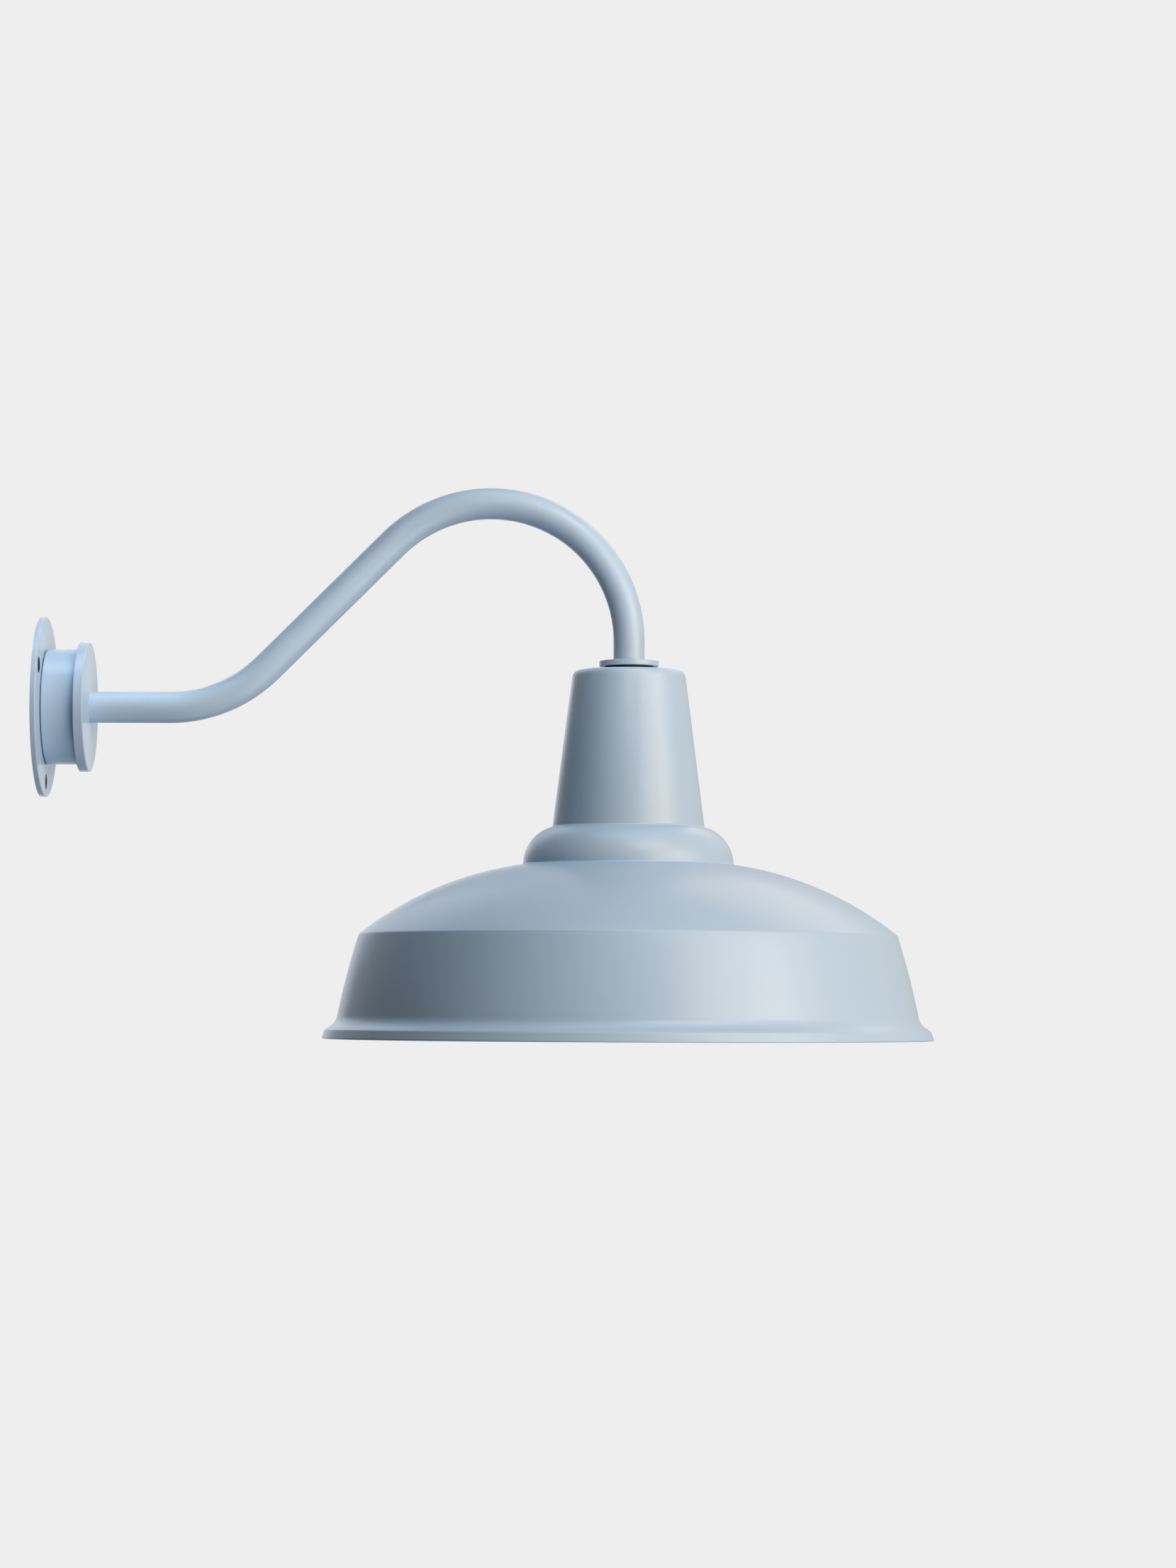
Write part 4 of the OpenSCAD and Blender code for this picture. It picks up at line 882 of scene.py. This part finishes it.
class BARN_OT_threads(bpy.types.Operator):
    """Roll the threads of the lampholder's shell and the bulb's cap, in step with each other"""
    bl_idname = "barn.threads"
    bl_label = "Threads"

    def execute(self, context):
        t = context.scene.barn_light.threads
        shell_low, shell_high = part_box("screw_shell")
        shell = self.roll(t, "threaded_shell", FINISHES["brass"], [
            complex(shell_high.x - LAMP.x, shell_high.z - t.sheet),
            *self.plain_then_thread(t, t.bore + t.sheet, shell_high.z - t.sheet, shell_low.z)])
        hand_over(shell, "fixture", "brass", "screw_shell")
        cap_low, cap_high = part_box("bulb_cap")
        cap = self.roll(t, "threaded_cap", FINISHES["lamp_cap"], [
            complex(0, cap_high.z), complex(t.shoulder - t.edge, cap_high.z),
            complex(t.shoulder, cap_high.z - t.edge / 3),
            *self.plain_then_thread(t, cap_high.x - LAMP.x, cap_high.z - t.sheet, cap_low.z, narrow=True)])
        hand_over(cap, "bulb", "lamp_cap", "bulb_cap")
        return {"FINISHED"}

    @staticmethod
    def plain_then_thread(t, radius, top, bottom, narrow=False):
        """Line down a sheet: its middle lies half-way between crests and roots, its ends as wide as the crests.
        A narrow sheet is as wide as the roots at its upper end."""
        steps = math.ceil((top - bottom) / t.step)
        side = 1 if narrow else -1
        points = []
        for i in range(steps + 1):
            z = top + (bottom - top) * i / steps
            ends = [min(max(1 - (distance - t.lip) / t.run_out, 0), 1) for distance in (top - z, z - bottom)]
            upper, lower = (near ** 2 * (3 - 2 * near) for near in ends)
            points.append(complex(radius - t.depth * (1 + upper * side - lower), z))
        return points

    @staticmethod
    def roll(t, name, made, outline):
        """Sheet spun from this outline, with the thread between its plain ends."""
        sheet = flat_line(name, outline)
        bottom = outline[-1].imag
        top = max(point.imag for point in outline) - t.sheet - t.lip
        work_out(sheet, spun_tree(), {
            "Segments": t.segments, "Lead": t.lead, "Depth": t.depth,
            "Top": top, "Bottom": bottom + t.lip, "Run-out": t.run_out}, made)
        face_out(sheet, Vector((0, 0, (top + bottom) / 2)))
        thicken(sheet, t.sheet)
        sheet.data.transform(Matrix.Translation(LAMP))
        shade_smooth(sheet)
        return sheet


class BARN_OT_spring(bpy.types.Operator):
    """Coil the spring behind the centre contact, which it lets give way"""
    bl_idname = "barn.spring"
    bl_label = "Spring"

    def execute(self, context):
        s = context.scene.barn_light.spring
        low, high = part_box("contact_spring")
        press = next(j for j in frame["record"]["behaviour"]["joints"] if j["name"] == "contact_press")
        spring = polyline("coiled_spring", [(0, 0, 0), (0, 0, 1)])
        work_out(spring, coil_tree(), {
            "Turns": s.turns, "Coil": s.coil, "Wire": s.wire, "Height": high.z - low.z - 2 * s.wire},
            FINISHES["zinc"])
        spring.data.transform(Matrix.Translation((LAMP.x, 0, low.z + s.wire)))
        shade_smooth(spring, 60)
        hand_over(spring, "fixture", "zinc", "contact_spring")
        1 - press["range_m"][1] / (high.z - low.z)
        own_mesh(spring)
        return {"FINISHED"}


class BARN_OT_wires(bpy.types.Operator):
    """Lead the cores from the flex to their clamps"""
    bl_idname = "barn.wires"
    bl_label = "Wires"

    def execute(self, context):
        w = context.scene.barn_light.wires
        flex_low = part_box("arm_cable")[0]
        tubes_low, tubes_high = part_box("terminal_tubes")
        tag_low, tag_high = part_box("earth_tag")
        post_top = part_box("holder_terminals")[1].z
        bore = 2 * (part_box("canopy_drum")[1].y - w.drum_wall)
        row = Vector(((tubes_low.x + tubes_high.x) / 2, tubes_low.y + w.tube / 2, 0))
        pitch = Vector((0, (tubes_high.y - tubes_low.y - w.tube) / 2, 0))
        down = Vector((0, 0, -1))
        ways = {"live": [], "neutral": [], "earth": []}
        for i, (name, out, up, drop) in enumerate(WALL_CORES):
            bearing = math.tau * i / len(WALL_CORES)
            start = Vector((flex_low.x, w.ring * math.sin(bearing), w.ring * math.cos(bearing)))
            mouth = row + pitch * i - down * (tubes_high.z + w.tube_depth)
            ways[name].append(core_way(
                start, Vector((-w.lead, 0, 0)), start + Vector((-w.lead - bore * out, 0, bore * up)),
                mouth - down * bore * drop, mouth, down * w.reach))
            side = Vector((math.cos(bearing), math.sin(bearing), 0))
            start = LAMP - down * flex_low.z + w.ring * side
            post = LAMP - down * post_top + w.posts * side
            ways[name].append(core_way(
                start, down * w.post_lead, start + down * 2 * w.radius,
                post - down * 4 * w.radius, post, down * (w.post_hole - w.radius)))
        tag = Vector((tag_low.x + w.tag_height, tag_low.y, (tag_low.z + tag_high.z) / 2))
        mouth = row + pitch * 2 - down * (tubes_low.z - w.tube_depth)
        ways["earth"].append(core_way(
            tag + Vector((0, w.tag_reach, 0)), Vector((0, -w.lead, 0)), tag - Vector((0, TAG_HANDLE, 0)),
            mouth + down * MOUTH_HANDLE, mouth, -down * w.reach))
        for name, lines in ways.items():
            core = polyline(f"{name}_cores", *lines)
            work_out(core, pipe_tree(), {"Radius": w.radius, "Sides": w.sides}, FINISHES[name])
            shade_smooth(core, 60)
            hand_over(core, "fixture", "core", "core_wires")
        return {"FINISHED"}


class BARN_OT_wall_screws(bpy.types.Operator):
    """Set the dark screws into the wall plate"""
    bl_idname = "barn.wall_screws"
    bl_label = "Wall screws"

    def execute(self, context):
        s = context.scene.barn_light.screws
        face = PLATE_FACE - s.sink
        screws = polyline("wall_screws", [(0, 0, 0), (0, 0, 1)])
        work_out(screws, screws_tree(), {
            "Head": s.head, "Shank": s.shank, "Length": face, "Recess": s.recess,
            "Circle": s.circle, "Number": s.number}, FINISHES["black_steel"])
        screws.data.transform(Matrix.Translation((face, 0, 0)) @ Matrix.Rotation(math.pi / 2, 4, "Y"))
        shade_smooth(screws)
        hand_over(screws, "fixture", "zinc")
        return {"FINISHED"}


CLASSES = (
    ShadeSettings, ArmSettings, ScrewSettings, ThreadSettings, SpringSettings, WireSettings, FinishSettings,
    StageSettings, BarnLightSettings, BARN_OT_stage, BARN_OT_finishes, BARN_OT_shade, BARN_OT_arm, BARN_OT_threads,
    BARN_OT_spring, BARN_OT_wires, BARN_OT_wall_screws,
)


class BARN_PT_panel(bpy.types.Panel):
    """Settings and steps of the barn light"""
    bl_label = "Barn light"
    bl_space_type = "VIEW_3D"
    bl_region_type = "UI"
    bl_category = "Barn light"

    def draw(self, context):
        settings = context.scene.barn_light
        for kind in CLASSES:
            if issubclass(kind, bpy.types.Operator):
                self.layout.operator(kind.bl_idname)
        for group in settings.bl_rna.properties:
            if group.type == "POINTER" and group.identifier != "rna_type":
                box = self.layout.box()
                box.label(text=group.name)
                held = getattr(settings, group.identifier)
                for item in held.bl_rna.properties:
                    if item.identifier not in ("rna_type", "name"):
                        box.prop(held, item.identifier)


def register():
    for kind in (*CLASSES, BARN_PT_panel):
        bpy.utils.register_class(kind)
    bpy.types.Scene.barn_light = PointerProperty(type=BarnLightSettings)


def unregister():
    del bpy.types.Scene.barn_light
    for kind in reversed((*CLASSES, BARN_PT_panel)):
        bpy.utils.unregister_class(kind)


def main():
    register()
    bpy.ops.barn.stage()
    bpy.ops.barn.finishes()
    bpy.ops.barn.shade()
    bpy.ops.barn.arm()
    bpy.ops.barn.threads()
    bpy.ops.barn.spring()
    bpy.ops.barn.wires()
    bpy.ops.barn.wall_screws()
    bpy.context.view_layer.update()


if __name__ == "__main__":
    main()
